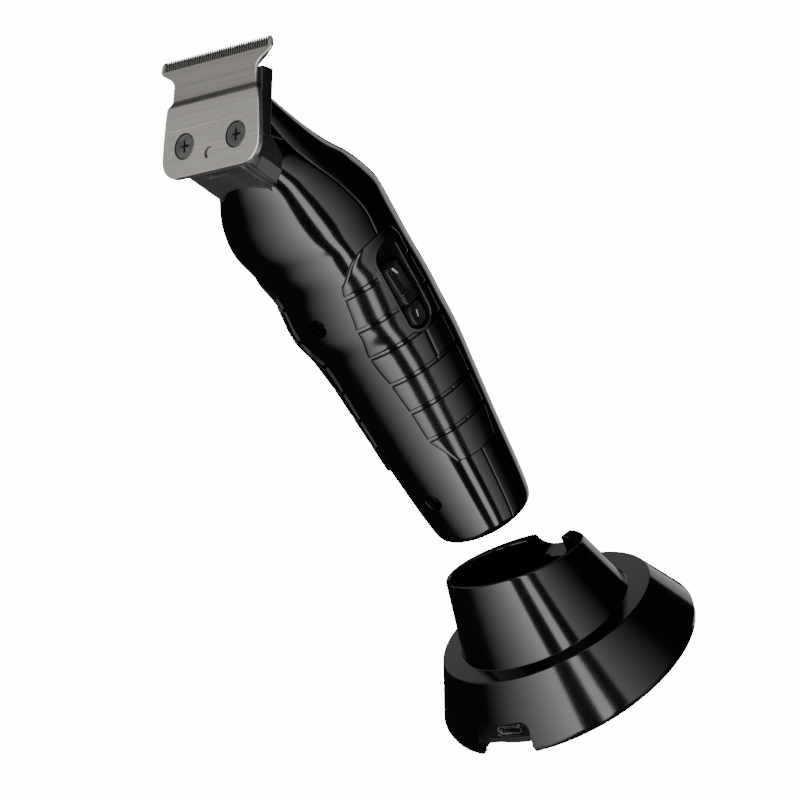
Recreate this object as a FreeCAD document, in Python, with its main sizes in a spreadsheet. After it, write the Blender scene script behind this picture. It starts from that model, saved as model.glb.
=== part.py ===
import FreeCAD, Part
import math
import os
import re
import Sketcher

# Cordless T-blade hair clipper hovering over its charging stand.
# Millimetres, +Z up.  The origin is the middle of the stand's rubber base pad.
# -Y is the belly side of the clipper, where the blade plate faces.  +X is the switch side.
# Clipper pieces are drawn from the clipper's own bottom face, then lifted by clipper_rest.
# Head pieces are drawn flat in the blade's plane, then tipped back by blade_tilt.

os.makedirs("parts", exist_ok=True)
doc = FreeCAD.newDocument("hair_clipper")
V = FreeCAD.Vector

# ---------------------------------------------------------------- driving dimensions

DIMENSIONS = {
    # stand
    "pad_thick": 1.0, "pad_radius": 35.0,
    "shell_wall": 2.2, "shell_foot": 0.4,
    "skirt_edge_up": 2.5, "skirt_edge_radius": 41.2, "skirt_bevel": 1.4, "skirt_slope": 0.49,
    "ledge_up": 18.6, "ledge_tilt": 3.8,
    "tower_foot_up": 16.0, "tower_foot_radius": 27.3, "tower_slope": 0.27,
    "rim_up": 40.2, "rim_tilt": 15.5, "cap_reach": 60.0,
    "well_floor_up": 10.7, "well_gap": 0.5, "well_wall": 2.0,
    "back_notch_wide": 13.0, "back_notch_floor": 28.5, "back_notch_round": 4.0,
    "plug_bay_wide": 19.6, "plug_bay_tall": 9.5, "plug_bay_back": 35.0, "plug_bay_round": 3.0,
    "usb_up": 5.4, "usb_wide": 8.9, "usb_tall": 3.2, "usb_deep": 7.4,
    "base_plate_radius": 38.4, "base_plate_thick": 1.8,
    "stand_screw_ring": 29.0, "stand_screw_radius": 1.4, "post_radius": 3.2,
    "weight_outer": 24.0, "weight_inner": 10.5, "weight_thick": 4.6,
    "pin_spacing": 8.0, "pin_radius": 0.9, "pin_top": 10.8,
    "spring_low": 3.4, "spring_high": 6.1, "spring_turns": 4, "spring_wire": 0.16,
    # clipper body
    "clipper_rest": 57.0, "housing_wall": 2.4, "grip_sink": 1.2, "grip_proud": 0.4,
    "groove_wide": 1.2, "groove_deep": 0.7, "segment_pitch": 10.2, "first_groove_up": 36.6,
    "split_y": -5.0, "split_bend_up": 102.0, "split_top_y": -9.5, "split_top_up": 132.0,
    "cap_radius": 9.0, "cap_thick": 2.6, "contact_wide": 3.4, "contact_long": 6.4, "contact_thick": 0.6,
    "case_screw_radius": 1.2, "case_head_radius": 2.2, "case_boss_radius": 3.4,
    "upper_screw_up": 81.1, "upper_screw_front": -20.8, "lower_screw_up": 16.6, "lower_screw_front": -16.0,
    "window_y": -4.9, "window_wide": 8.6, "window_low": 67.6, "window_high": 95.4,
    "bezel_wall": 0.7, "bezel_floor_x": 17.2, "bezel_floor_thick": 0.6, "bezel_face_x": 21.4,
    "slider_low": 76.0, "slider_high": 88.4, "slider_wide": 6.0, "slider_face_x": 21.2,
    "button_low": 68.8, "button_high": 75.4, "button_face_x": 20.8,
    "board_x": 13.0, "board_thick": 1.2,
    "cell_radius": 9.2, "cell_low": 21.4, "cell_high": 71.4,
    "motor_y": -7.5, "motor_radius": 10.5, "motor_low": 92.0, "motor_high": 117.0,
    "shaft_radius": 1.0, "cam_offset": 1.2, "cam_radius": 4.2, "cam_low": 121.2, "drive_pin_radius": 1.5,
    "drive_pin_top": 147.0,
    # head
    "blade_tilt": 44.0, "blade_foot_y": -26.6, "blade_foot_up": 137.4,
    "blade_thick": 2.0, "blade_half_wide": 18.3, "tooth_tip": 34.6, "tee_half_wide": 20.2,
    "tooth_pitch": 0.84, "tooth_gap": 0.38, "tooth_deep": 2.8,
    "blade_screw_x": 9.7, "blade_screw_up": 8.65, "blade_screw_head": 3.2, "blade_screw_radius": 1.45,
    "cutter_gap": 0.1, "cutter_thick": 1.5, "cutter_stroke": 1.2,
    "yoke_half_wide": 9.0, "yoke_thick": 3.4, "yoke_slot_half": 4.4,
}

# The clipper's outside as ellipses up its length: height, half width, half depth, shift in y.
STATIONS = [
    (0.0, 14.0, 13.2, 0.0), (1.0, 15.0, 14.1, 0.0), (3.0, 15.6, 14.7, 0.0), (24.0, 17.8, 16.4, 0.0),
    (42.0, 19.2, 17.6, 0.5), (57.0, 20.4, 18.6, 0.9), (68.0, 21.2, 19.3, 0.2), (77.0, 22.0, 20.4, -0.9),
    (88.0, 21.8, 19.6, -0.5), (98.0, 22.6, 20.8, -1.8), (107.0, 23.3, 21.8, -3.0),
    (115.0, 21.8, 20.8, -3.6), (122.0, 18.8, 18.4, -3.4), (129.5, 14.6, 14.4, -5.2),
]
# The hood is the tongue behind the blade that rises out of the rear housing.
HOOD = [(126.0, 14.0, 10.5, -1.6), (132.0, 13.0, 8.6, -2.0), (142.0, 10.0, 5.5, -2.5), (147.0, 8.0, 3.6, -2.3)]

sheet = doc.addObject("Spreadsheet::Sheet", "Dims")
for row, (alias, value) in enumerate(DIMENSIONS.items(), start=1):
    sheet.set(f"A{row}", alias)
    sheet.set(f"B{row}", str(value))
    sheet.setAlias(f"B{row}", alias)
next_row = len(DIMENSIONS) + 1
for table, prefix in ((STATIONS, "body"), (HOOD, "hood")):
    for index, station in enumerate(table):
        for word, value in zip(("up", "wide", "deep", "shift"), station):
            alias = f"{prefix}_{word}_{index}"
            sheet.set(f"A{next_row}", alias)
            sheet.set(f"B{next_row}", str(value))
            sheet.setAlias(f"B{next_row}", alias)
            next_row += 1
doc.recompute()

parts = []


def formula(words):
    """Turn cell names in an expression into references to the sheet."""
    def swap(match):
        word = match.group(0)
        known = word in DIMENSIONS or word.startswith(("body_", "hood_"))
        return "Dims." + word if known else word
    return re.sub(r"[a-z][a-z_]*[a-z0-9_]*", swap, str(words))


def size(words):
    """The value of an expression of cell names."""
    return float(sheet.evalExpression(formula(words)))


def bind(item, **sizes):
    """Bind properties to cells.  Placement parts are written at_x, at_y and at_z."""
    for name, words in sizes.items():
        path = "Placement.Base." + name[3] if name.startswith("at_") else name
        item.setExpression(path, formula(words))
    return item


def turned(item, axis, degrees):
    """Turn an object about an axis through its own corner."""
    item.Placement.Rotation = FreeCAD.Rotation(axis, degrees)
    return item


def box(name, x, y, z, long, deep, tall):
    """A box from its lowest corner."""
    return bind(doc.addObject("Part::Box", name), Length=long, Width=deep, Height=tall,
                at_x=x, at_y=y, at_z=z)


def rod(name, radius, low, high, x="0", y="0"):
    """An upright cylinder."""
    return bind(doc.addObject("Part::Cylinder", name), Radius=radius, Height=f"({high})-({low})",
                at_x=x, at_y=y, at_z=low)


def rod_along_y(name, radius, start, end, x, z):
    """A cylinder that runs from start to end along +Y."""
    item = doc.addObject("Part::Cylinder", name)
    turned(item, V(1, 0, 0), -90)
    return bind(item, Radius=radius, Height=f"({end})-({start})", at_x=x, at_y=start, at_z=z)


def rod_along_x(name, radius, start, end, y, z):
    """A cylinder that runs from start to end along +X."""
    item = doc.addObject("Part::Cylinder", name)
    turned(item, V(0, 1, 0), 90)
    return bind(item, Radius=radius, Height=f"({end})-({start})", at_x=start, at_y=y, at_z=z)


def cone(name, foot_radius, top_radius, low, high):
    """An upright cone frustum on the Z axis."""
    return bind(doc.addObject("Part::Cone", name), Radius1=foot_radius, Radius2=top_radius,
                Height=f"({high})-({low})", at_z=low)


def cut(name, base, *tools):
    """Base with each tool taken away in turn."""
    item = base
    for number, tool in enumerate(tools, start=1):
        step = doc.addObject("Part::Cut", name if number == len(tools) else f"{name}_step_{number}")
        step.Base = item
        step.Tool = tool
        item = step
    return item


def fuse(name, *shapes):
    """Several shapes joined into one."""
    item = doc.addObject("Part::MultiFuse", name)
    item.Shapes = list(shapes)
    return item


def common(name, *shapes):
    """What several shapes share."""
    item = doc.addObject("Part::MultiCommon", name)
    item.Shapes = list(shapes)
    return item


def group(name, *shapes):
    """Separate solids kept in one node."""
    item = doc.addObject("Part::Compound", name)
    item.Links = list(shapes)
    return item


def prism(name, points, axis, low, high):
    """A straight-sided solid over an outline, from low to high along an axis."""
    polygon = doc.addObject("Part::Polygon", name + "_outline")
    polygon.Nodes = points
    polygon.Close = True
    item = doc.addObject("Part::Extrusion", name)
    item.Base = polygon
    item.Dir = axis
    item.Solid = True
    return bind(item, LengthFwd=high, LengthRev=f"-({low})")


def loft(name, prefix, picks, grow="0", lift="0"):
    """A solid through ellipses of a station table, each grown by the same amount.

    Each ellipse starts at the middle of the back, so that its seam stays clear of the side grips.
    """
    rings = []
    for index in picks:
        ring = doc.addObject("Part::Feature", f"{name}_ring_{index}")
        curve = Part.Ellipse(V(0, 0, 0), size(f"{prefix}_wide_{index}+({grow})"),
                             size(f"{prefix}_deep_{index}+({grow})"))
        ring.Shape = Part.Wire(curve.toShape(math.pi / 2, 5 * math.pi / 2))
        bind(ring, at_y=f"{prefix}_shift_{index}", at_z=f"{prefix}_up_{index}+({lift})")
        rings.append(ring)
    item = doc.addObject("Part::Loft", name)
    item.Sections = rings
    item.Solid = True
    item.Ruled = True
    return item


def new_body(name):
    """An empty PartDesign body."""
    return doc.addObject("PartDesign::Body", name)


def outline(body, plane, corners, name="outline"):
    """A closed sketch of straight runs on an origin plane, with each corner bound to the sheet."""
    sketch = body.newObject("Sketcher::SketchObject", f"{body.Name}_{name}")
    origin_plane = [f for f in body.Origin.OriginFeatures if f.Role == plane][0]
    sketch.AttachmentSupport = (origin_plane, [""])
    sketch.MapMode = "FlatFace"
    places = [(size(a), size(b)) for a, b in corners]
    count = len(places)
    for index, (a, b) in enumerate(places):
        c, d = places[(index + 1) % count]
        sketch.addGeometry(Part.LineSegment(V(a, b, 0), V(c, d, 0)))
    for index in range(count):
        sketch.addConstraint(Sketcher.Constraint("Coincident", index, 2, (index + 1) % count, 1))
    for index, corner in enumerate(corners):
        for words, value, kind, axis in zip(corner, places[index], ("DistanceX", "DistanceY"), (-2, -1)):
            if abs(value) < 1e-9:
                sketch.addConstraint(Sketcher.Constraint("PointOnObject", index, 1, axis))
            else:
                number = sketch.addConstraint(Sketcher.Constraint(kind, -1, 1, index, 1, value))
                sketch.setExpression(f"Constraints[{number}]", formula(words))
    return sketch


def spin(body, corners, name="spin"):
    """Revolve an outline of (radius, height) corners about the body's Z axis."""
    sketch = outline(body, "XZ_Plane", corners, name)
    feature = body.newObject("PartDesign::Revolution", f"{body.Name}_{name}_turn")
    feature.Profile = sketch
    feature.ReferenceAxis = (sketch, ["V_Axis"])
    feature.Angle = 360
    return feature


def ring_holes(body, radius, ring, count, name="holes"):
    """Holes on a circle through a body, by a polar pattern."""
    sketch = body.newObject("Sketcher::SketchObject", f"{body.Name}_{name}")
    origin_plane = [f for f in body.Origin.OriginFeatures if f.Role == "XY_Plane"][0]
    sketch.AttachmentSupport = (origin_plane, [""])
    sketch.MapMode = "FlatFace"
    at = size(ring) / math.sqrt(2)
    sketch.addGeometry(Part.Circle(V(at, at, 0), V(0, 0, 1), size(radius)))
    for kind in ("DistanceX", "DistanceY"):
        number = sketch.addConstraint(Sketcher.Constraint(kind, -1, 1, 0, 3, at))
        sketch.setExpression(f"Constraints[{number}]", formula(f"({ring})/sqrt(2)"))
    number = sketch.addConstraint(Sketcher.Constraint("Radius", 0, size(radius)))
    sketch.setExpression(f"Constraints[{number}]", formula(radius))
    pocket = body.newObject("PartDesign::Pocket", f"{body.Name}_{name}_cut")
    pocket.Profile = sketch
    pocket.Type = 1
    pocket.Midplane = True
    pattern = body.newObject("PartDesign::PolarPattern", f"{body.Name}_{name}_ring")
    pattern.Originals = [pocket]
    pattern.Axis = (sketch, ["N_Axis"])
    pattern.Angle = 360
    pattern.Occurrences = count
    body.Tip = pattern
    return pattern


def keep(item, label, lift=None):
    """Record a finished sub-part, lifting a clipper piece to where the clipper rests."""
    item.Label = label
    if lift:
        own = [words for path, words in item.ExpressionEngine if path.endswith("Placement.Base.z")]
        item.setExpression("Placement.Base.z", " + ".join([formula(lift)] + own))
    parts.append(item)
    return item


def keep_tipped(item, label):
    """Record a head piece: drawn flat in the blade's plane and tipped onto the clipper."""
    turned(item, V(1, 0, 0), size("blade_tilt"))
    bind(item, at_y="blade_foot_y", at_z="blade_foot_up+clipper_rest")
    item.Label = label
    parts.append(item)
    return item


# ---------------------------------------------------------------- stand

def tilted_cap(name, centre, tilt):
    """A large block above a plane that is low at the back."""
    block = box(name, "-cap_reach", f"-cap_reach*cos({tilt})", f"({centre})+cap_reach*sin({tilt})",
                "2*cap_reach", "2*cap_reach", "cap_reach")
    return turned(block, V(1, 0, 0), -size(tilt))


def stand_outside(name, inset):
    """The stand's outer form, or the same form drawn in by a wall thickness."""
    foot = cone(name + "_bevel", f"skirt_edge_radius-skirt_bevel-({inset})", f"skirt_edge_radius-({inset})",
                "shell_foot", "skirt_edge_up")
    skirt = cone(name + "_skirt", f"skirt_edge_radius-({inset})",
                 f"skirt_edge_radius-skirt_slope*(26-skirt_edge_up)-({inset})", "skirt_edge_up", "26")
    ledge = cut(name + "_ledge", skirt, tilted_cap(name + "_above_ledge", f"ledge_up-({inset})", "ledge_tilt"))
    tower = cone(name + "_tower", f"tower_foot_radius-({inset})",
                 f"tower_foot_radius-tower_slope*(50-tower_foot_up)-({inset})", "tower_foot_up-6", "50")
    rim = cut(name + "_rim", tower, tilted_cap(name + "_above_rim", f"rim_up-({inset})*2", "rim_tilt"))
    return fuse(name, foot, ledge, rim)


def stand_shell():
    """One moulding: bevelled skirt, sloping ledge, tower, and the well that the clipper stands in."""
    outside = stand_outside("stand_form", "0")
    hollow = stand_outside("stand_hollow", "shell_wall")
    well = loft("well", "body", (0, 1, 2, 3, 4), "well_gap", "well_floor_up")
    cup = loft("well_cup", "body", (0, 1, 2, 3, 4), "well_gap+well_wall", "well_floor_up-well_wall")
    bay = box("plug_bay", "-plug_bay_wide/2", "-60", "-1", "plug_bay_wide", "60-plug_bay_back",
              "plug_bay_tall+1-plug_bay_round")
    arch = box("plug_bay_arch", "plug_bay_round-plug_bay_wide/2", "-60", "-1",
               "plug_bay_wide-2*plug_bay_round", "60-plug_bay_back", "plug_bay_tall+1")
    corners = [rod_along_y(f"plug_bay_corner_{n}", "plug_bay_round", "-60", "-plug_bay_back",
                           f"{side}*(plug_bay_wide/2-plug_bay_round)", "plug_bay_tall-plug_bay_round")
               for n, side in enumerate((-1, 1))]
    bay_wall = box("plug_bay_wall", "-plug_bay_wide/2-shell_wall", "-60", "-1",
                   "plug_bay_wide+2*shell_wall", "60-plug_bay_back+shell_wall", "plug_bay_tall+1+shell_wall")
    void = cut("stand_void", hollow, cup, bay_wall)
    opening = rod("stand_mouth", "skirt_edge_radius-shell_wall", "-1", "pad_thick+base_plate_thick+0.1")
    mouth = cut("stand_mouth_clear", opening, box("mouth_keep", "-plug_bay_wide/2-shell_wall", "-60",
                                                  "pad_thick+base_plate_thick", "plug_bay_wide+2*shell_wall",
                                                  "60-plug_bay_back+shell_wall", "10"))
    posts = [rod(f"post_{n}", "post_radius", "pad_thick+base_plate_thick", "ledge_up-2",
                 f"{sx}*stand_screw_ring/sqrt(2)", f"{sy}*stand_screw_ring/sqrt(2)")
             for n, (sx, sy) in enumerate(((1, 1), (-1, 1), (-1, -1), (1, -1)))]
    threads = [rod(f"post_hole_{n}", "stand_screw_radius", "0", "ledge_up-6",
                   f"{sx}*stand_screw_ring/sqrt(2)", f"{sy}*stand_screw_ring/sqrt(2)")
               for n, (sx, sy) in enumerate(((1, 1), (-1, 1), (-1, -1), (1, -1)))]
    notch = [box("back_notch", "-back_notch_wide/2", "5", "back_notch_floor+back_notch_round",
                 "back_notch_wide", "40", "30"),
             box("back_notch_low", "back_notch_round-back_notch_wide/2", "5", "back_notch_floor",
                 "back_notch_wide-2*back_notch_round", "40", "30")]
    notch += [rod_along_y(f"back_notch_corner_{n}", "back_notch_round", "5", "45",
                          f"{side}*(back_notch_wide/2-back_notch_round)", "back_notch_floor+back_notch_round")
              for n, side in enumerate((-1, 1))]
    pin_holes = [rod(f"well_pin_hole_{n}", "pin_radius+0.35", "0", "well_floor_up+2", f"{side}*pin_spacing/2")
                 for n, side in enumerate((-1, 1))]
    usb_hole = usb_racetrack("usb_hole", "0.05", "-plug_bay_back-1", "-plug_bay_back+shell_wall+1")
    walls = cut("stand_walls", outside, void, well, mouth)
    solid = fuse("stand_with_posts", walls, *posts)
    return keep(cut("stand_shell_body", solid, *threads, *notch, *pin_holes, bay, arch, *corners, usb_hole),
                "stand_shell")


def usb_racetrack(name, grow, start, end):
    """A rounded slot along Y at the height of the charging socket."""
    middle = box(name + "_flat", "-(usb_wide-usb_tall)/2", start, f"usb_up-usb_tall/2-({grow})",
                 "usb_wide-usb_tall", f"({end})-({start})", f"usb_tall+2*({grow})")
    ends = [rod_along_y(f"{name}_end_{n}", f"usb_tall/2+({grow})", start, end,
                        f"{side}*(usb_wide-usb_tall)/2", "usb_up")
            for n, side in enumerate((-1, 1))]
    return fuse(name, middle, *ends)


def stand_base():
    """The rubber pad, the plate it is glued to, the plate's screws and the steel weight."""
    pad = new_body("base_pad_body")
    spin(pad, (("0", "0"), ("pad_radius-0.6", "0"), ("pad_radius", "0.6"), ("pad_radius", "pad_thick"),
               ("0", "pad_thick")))
    keep(pad, "rubber_base_pad")
    plate = new_body("base_plate_body")
    spin(plate, (("0", "pad_thick"), ("base_plate_radius", "pad_thick"),
                 ("base_plate_radius", "pad_thick+base_plate_thick"), ("0", "pad_thick+base_plate_thick")))
    ring_holes(plate, "stand_screw_radius+0.2", "stand_screw_ring", 4)
    bay = box("plate_bay", "-plug_bay_wide/2", "-60", "-1", "plug_bay_wide", "60-plug_bay_back", "10")
    heads = [bind(doc.addObject("Part::Cone", f"plate_sink_{n}"), Radius1="stand_screw_radius+1.5",
                  Radius2="stand_screw_radius+0.2", Height="1.2", at_z="pad_thick",
                  at_x=f"{sx}*stand_screw_ring/sqrt(2)", at_y=f"{sy}*stand_screw_ring/sqrt(2)")
             for n, (sx, sy) in enumerate(((1, 1), (-1, 1), (-1, -1), (1, -1)))]
    keep(cut("base_plate_cut", plate, bay, *heads), "stand_base_plate")
    screws = []
    for n, (sx, sy) in enumerate(((1, 1), (-1, 1), (-1, -1), (1, -1))):
        screw = new_body(f"stand_screw_{n}")
        spin(screw, (("0", "0"), ("stand_screw_radius+1.4", "0"), ("stand_screw_radius-0.05", "1.3"),
                     ("stand_screw_radius-0.05", "8"), ("0", "9")))
        bind(screw, at_x=f"{sx}*stand_screw_ring/sqrt(2)", at_y=f"{sy}*stand_screw_ring/sqrt(2)",
             at_z="pad_thick+0.02")
        screws.append(screw)
    keep(group("stand_screw_set", *screws), "stand_screws")
    weight = new_body("weight_body")
    low, high = "pad_thick+base_plate_thick", "pad_thick+base_plate_thick+weight_thick"
    spin(weight, (("weight_inner", low), ("weight_outer", low), ("weight_outer", high), ("weight_inner", high)))
    keep(weight, "stand_weight")


def stand_electrics():
    """The sprung contact pins under the well and the USB-C inlet in the front bay."""
    block = rod("pin_block", "7.5", "pad_thick+base_plate_thick", "well_floor_up-well_wall")
    bores = [rod(f"pin_bore_{n}", "pin_radius+0.9", "3.2", "20", f"{side}*pin_spacing/2")
             for n, side in enumerate((-1, 1))]
    keep(cut("pin_holder_body", block, *bores), "pin_holder")
    for side, word in ((-1, "left"), (1, "right")):
        pin = new_body(f"pin_{word}_body")
        spin(pin, (("0", "5.0"), ("pin_radius-0.3", "5.0"), ("pin_radius-0.3", "6.4"), ("pin_radius+0.6", "6.4"),
                   ("pin_radius+0.6", "7.4"), ("pin_radius", "7.4"), ("pin_radius", "pin_top-0.4"),
                   ("pin_radius-0.4", "pin_top"), ("0", "pin_top")))
        bind(pin, at_x=f"{side}*pin_spacing/2")
        keep(pin, f"contact_pin_{word}")
        keep(bind(coil(f"pin_spring_{word}_body"), at_x=f"{side}*pin_spacing/2", at_z="spring_low"),
             f"pin_spring_{word}")
    board = box("usb_board_body", "-8", "-plug_bay_back+shell_wall+0.1", "pad_thick+base_plate_thick+0.1",
                "16", "7.2", "0.8")
    keep(board, "charge_board")
    shell = cut("usb_shell_cut", usb_racetrack("usb_shell", "-0.05", "-plug_bay_back", "usb_deep-plug_bay_back"),
                usb_racetrack("usb_mouth", "-0.4", "-plug_bay_back-1", "usb_deep-plug_bay_back-0.8"))
    keep(shell, "usb_socket")
    tongue = box("usb_tongue_body", "-3.0", "-plug_bay_back+0.8", "usb_up-0.3", "6.0", "usb_deep-1.6", "0.6")
    keep(tongue, "usb_tongue")


def coil(name):
    """A helical spring of round wire for a contact pin."""
    path = doc.addObject("Part::Helix", name + "_path")
    path.SegmentLength = 0.5
    bind(path, Pitch="(spring_high-spring_low)/spring_turns", Height="spring_high-spring_low",
         Radius="pin_radius+0.35")
    wire = turned(doc.addObject("Part::Circle", name + "_wire"), V(1, 0, 0), 90)
    bind(wire, Radius="spring_wire", at_x="pin_radius+0.35")
    doc.recompute()
    item = doc.addObject("Part::Sweep", name)
    item.Sections = [wire]
    item.Spine = (path, [f"Edge{n + 1}" for n in range(len(path.Shape.Edges))])
    item.Solid = True
    item.Frenet = True
    return item


# ---------------------------------------------------------------- clipper body

GRIP_OUTLINE = [(-17.9, 86.8), (-17.2, 93.0), (-14.3, 96.8), (-7.7, 98.8), (-0.8, 99.0), (2.4, 97.2),
                (3.6, 94.0), (3.4, 32.0), (1.6, 28.4), (-4.0, 26.6), (-12.0, 27.6), (-15.0, 33.0),
                (-15.8, 46.5), (-16.6, 57.0), (-18.2, 67.7), (-19.5, 76.5), (-19.5, 80.3)]


def grip_prism(name, side, start):
    """The shield outline of a side grip, run outwards along X on one side."""
    points = [V(0, y, z) for y, z in GRIP_OUTLINE]
    return prism(name, points, V(side, 0, 0), start, "40")


def split_block():
    """Everything ahead of the join between the two housing halves."""
    corners = (("-60", "-10"), ("split_y", "-10"), ("split_y", "split_bend_up"), ("split_top_y", "split_top_up"),
               ("split_top_y", "170"), ("-60", "170"))
    body = new_body("split_block")
    sketch = outline(body, "YZ_Plane", corners)
    pad = body.newObject("PartDesign::Pad", "split_pad")
    pad.Profile = sketch
    pad.Length = 120
    pad.Midplane = True
    return body


def window_cutter(name, grow, inside, outside):
    """A racetrack along X where the switches sit."""
    half = f"(window_wide/2+({grow}))"
    low, high = "window_low+window_wide/2", "window_high-window_wide/2"
    flat = box(name + "_flat", inside, f"window_y-{half}", low, f"({outside})-({inside})", f"2*{half}",
               f"({high})-({low})")
    ends = [rod_along_x(f"{name}_end_{n}", half, inside, outside, "window_y", at)
            for n, at in enumerate((low, high))]
    return fuse(name, flat, *ends)


def case_screw_hole(name, radius, up, start, end):
    """A cylinder along the line of a case screw."""
    return rod_along_y(name, radius, start, end, "0", up)


def drive_clearance(name, low, high):
    """The room that the eccentric drive pin sweeps above the motor."""
    return rod(name, "cam_radius+0.4", low, high, "0", "motor_y")


def bracket_profile(name):
    """The blade bracket's block in the blade's plane: width x, length up the blade, depth behind it."""
    side = [V(0, 0.4, -2.0), V(0, -3.0, -14.0), V(0, 8.0, -14.0), V(0, 11.5, -10.5), V(0, 11.5, -2.0)]
    block = prism(name + "_block", side, V(1, 0, 0), "-14", "14")
    plan = [V(-9.4, -6, 0), V(9.4, -6, 0), V(14.0, 1.5, 0), V(14.0, 20, 0), V(-14.0, 20, 0), V(-14.0, 1.5, 0)]
    trim = prism(name + "_plan", plan, V(0, 0, -1), "-1", "16")
    return common(name, block, trim)


def tipped(item):
    """Tip a tool drawn in the blade's plane, in the clipper's own heights."""
    turned(item, V(1, 0, 0), size("blade_tilt"))
    return bind(item, at_y="blade_foot_y", at_z="blade_foot_up")


def housings():
    """The front housing, and the rear housing with the hood behind the blade."""
    everything = tuple(range(len(STATIONS)))
    inner = everything[2:-1]
    form = loft("body_form", "body", everything)
    cavity = loft("body_cavity", "body", inner, "-housing_wall", "0")
    sunk = loft("grip_floor", "body", everything[1:], "-grip_sink")
    grip_rooms = [grip_prism(f"grip_reach_{word}", side, "5") for side, word in ((-1, "left"), (1, "right"))]
    stepped = fuse("body_stepped", cut("body_without_sides", form, *grip_rooms), sunk)
    walls = cut("body_walls", stepped, cavity)
    bosses = []
    clearances = []
    for word in ("upper", "lower"):
        up, front = f"{word}_screw_up", f"{word}_screw_front"
        bosses.append(common(f"boss_{word}_in", sunk,
                             case_screw_hole(f"boss_{word}", "case_boss_radius", up, "-30", "30")))
        clearances.append(case_screw_hole(f"recess_{word}", "case_head_radius+0.3", up, "-40", f"{front}+3.8"))
        clearances.append(case_screw_hole(f"shank_{word}", "case_screw_radius+0.1", up, f"{front}+3", f"{front}+19"))
    hood = loft("hood", "hood", range(len(HOOD)))
    clear = [*clearances, window_cutter("window_room", "0", "15", "30"),
             drive_clearance("drive_room", "119", "160"), tipped(bracket_profile("bracket_room")),
             rod("cap_room", "cap_radius", "-1", "cap_thick"), rod("cap_wire_room", "cap_radius-2", "0", "8")]
    solid = fuse("body_with_bosses", walls, *bosses)
    whole = cut("body_cleared", solid, *clear)
    ahead = split_block()
    keep(common("front_housing_body", whole, ahead), "front_housing", "clipper_rest")
    hood_cleared = cut("hood_cleared", hood, ahead, drive_clearance("hood_drive_room", "100", "160"))
    rear = cut("rear_walls", whole, ahead)
    keep(fuse("rear_housing_body", rear, hood_cleared), "rear_housing", "clipper_rest")


def grips():
    """Segmented side grips: one plain, one with the switch window."""
    everything = tuple(range(len(STATIONS)))
    proud = loft("grip_face", "body", everything, "grip_proud")
    floor = loft("grip_back", "body", everything[1:], "-grip_sink")
    groove_floor = loft("groove_floor", "body", everything[1:], "grip_proud-groove_deep")
    bands = [box(f"groove_band_{n}", "-40", "-40", f"first_groove_up+{n}*segment_pitch-groove_wide/2",
                 "80", "80", "groove_wide") for n in range(6)]
    grooves = cut("grip_grooves", fuse("groove_bands", *bands), groove_floor)
    for side, word in ((-1, "left"), (1, "right")):
        shell = common(f"grip_layer_{word}", proud, grip_prism(f"grip_cover_{word}", side, "5"))
        tools = [floor, grooves]
        if side > 0:
            tools.append(window_cutter("window_in_grip", "0", "10", "30"))
        keep(cut(f"grip_{word}_body", shell, *tools), f"grip_plate_{word}", "clipper_rest")


def bottom_end():
    """The contact carrier in the bottom face, with its two charging contacts."""
    disc = new_body("cap_body")
    spin(disc, (("0", "0"), ("cap_radius", "0"), ("cap_radius", "cap_thick"), ("0", "cap_thick")))
    seats = [box(f"contact_seat_{n}", f"{side}*pin_spacing/2-contact_wide/2", "-contact_long/2", "-1",
                 "contact_wide", "contact_long", "contact_thick+1") for n, side in enumerate((-1, 1))]
    keep(cut("cap_with_seats", disc, *seats), "contact_carrier", "clipper_rest")
    plates = [box(f"contact_plate_{n}", f"{side}*pin_spacing/2-contact_wide/2", "-contact_long/2", "0",
                  "contact_wide", "contact_long", "contact_thick") for n, side in enumerate((-1, 1))]
    keep(group("contact_plates", *plates), "charging_contacts", "clipper_rest")


def case_screws():
    """Two cross-head screws that hold the housing halves together."""
    screws = []
    for word in ("upper", "lower"):
        screw = new_body(f"case_screw_{word}")
        spin(screw, (("0", "0"), ("case_screw_radius", "0"), ("case_screw_radius", "14"),
                     ("case_head_radius", "14"), ("case_head_radius", "15.2"), ("case_head_radius-0.5", "15.7"),
                     ("0", "15.7")))
        cross = [box(f"case_cross_{word}_{n}", f"-{a}", f"-{b}", "14.9", f"2*{a}", f"2*{b}", "2")
                 for n, (a, b) in enumerate(((1.3, 0.25), (0.25, 1.3)))]
        made = cut(f"case_screw_{word}_cut", screw, *cross)
        turned(made, V(1, 0, 0), 90)
        bind(made, at_y=f"{word}_screw_front+3.8+14", at_z=f"{word}_screw_up")
        screws.append(made)
    keep(group("case_screw_set", *screws), "case_screws", "clipper_rest")


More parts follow.
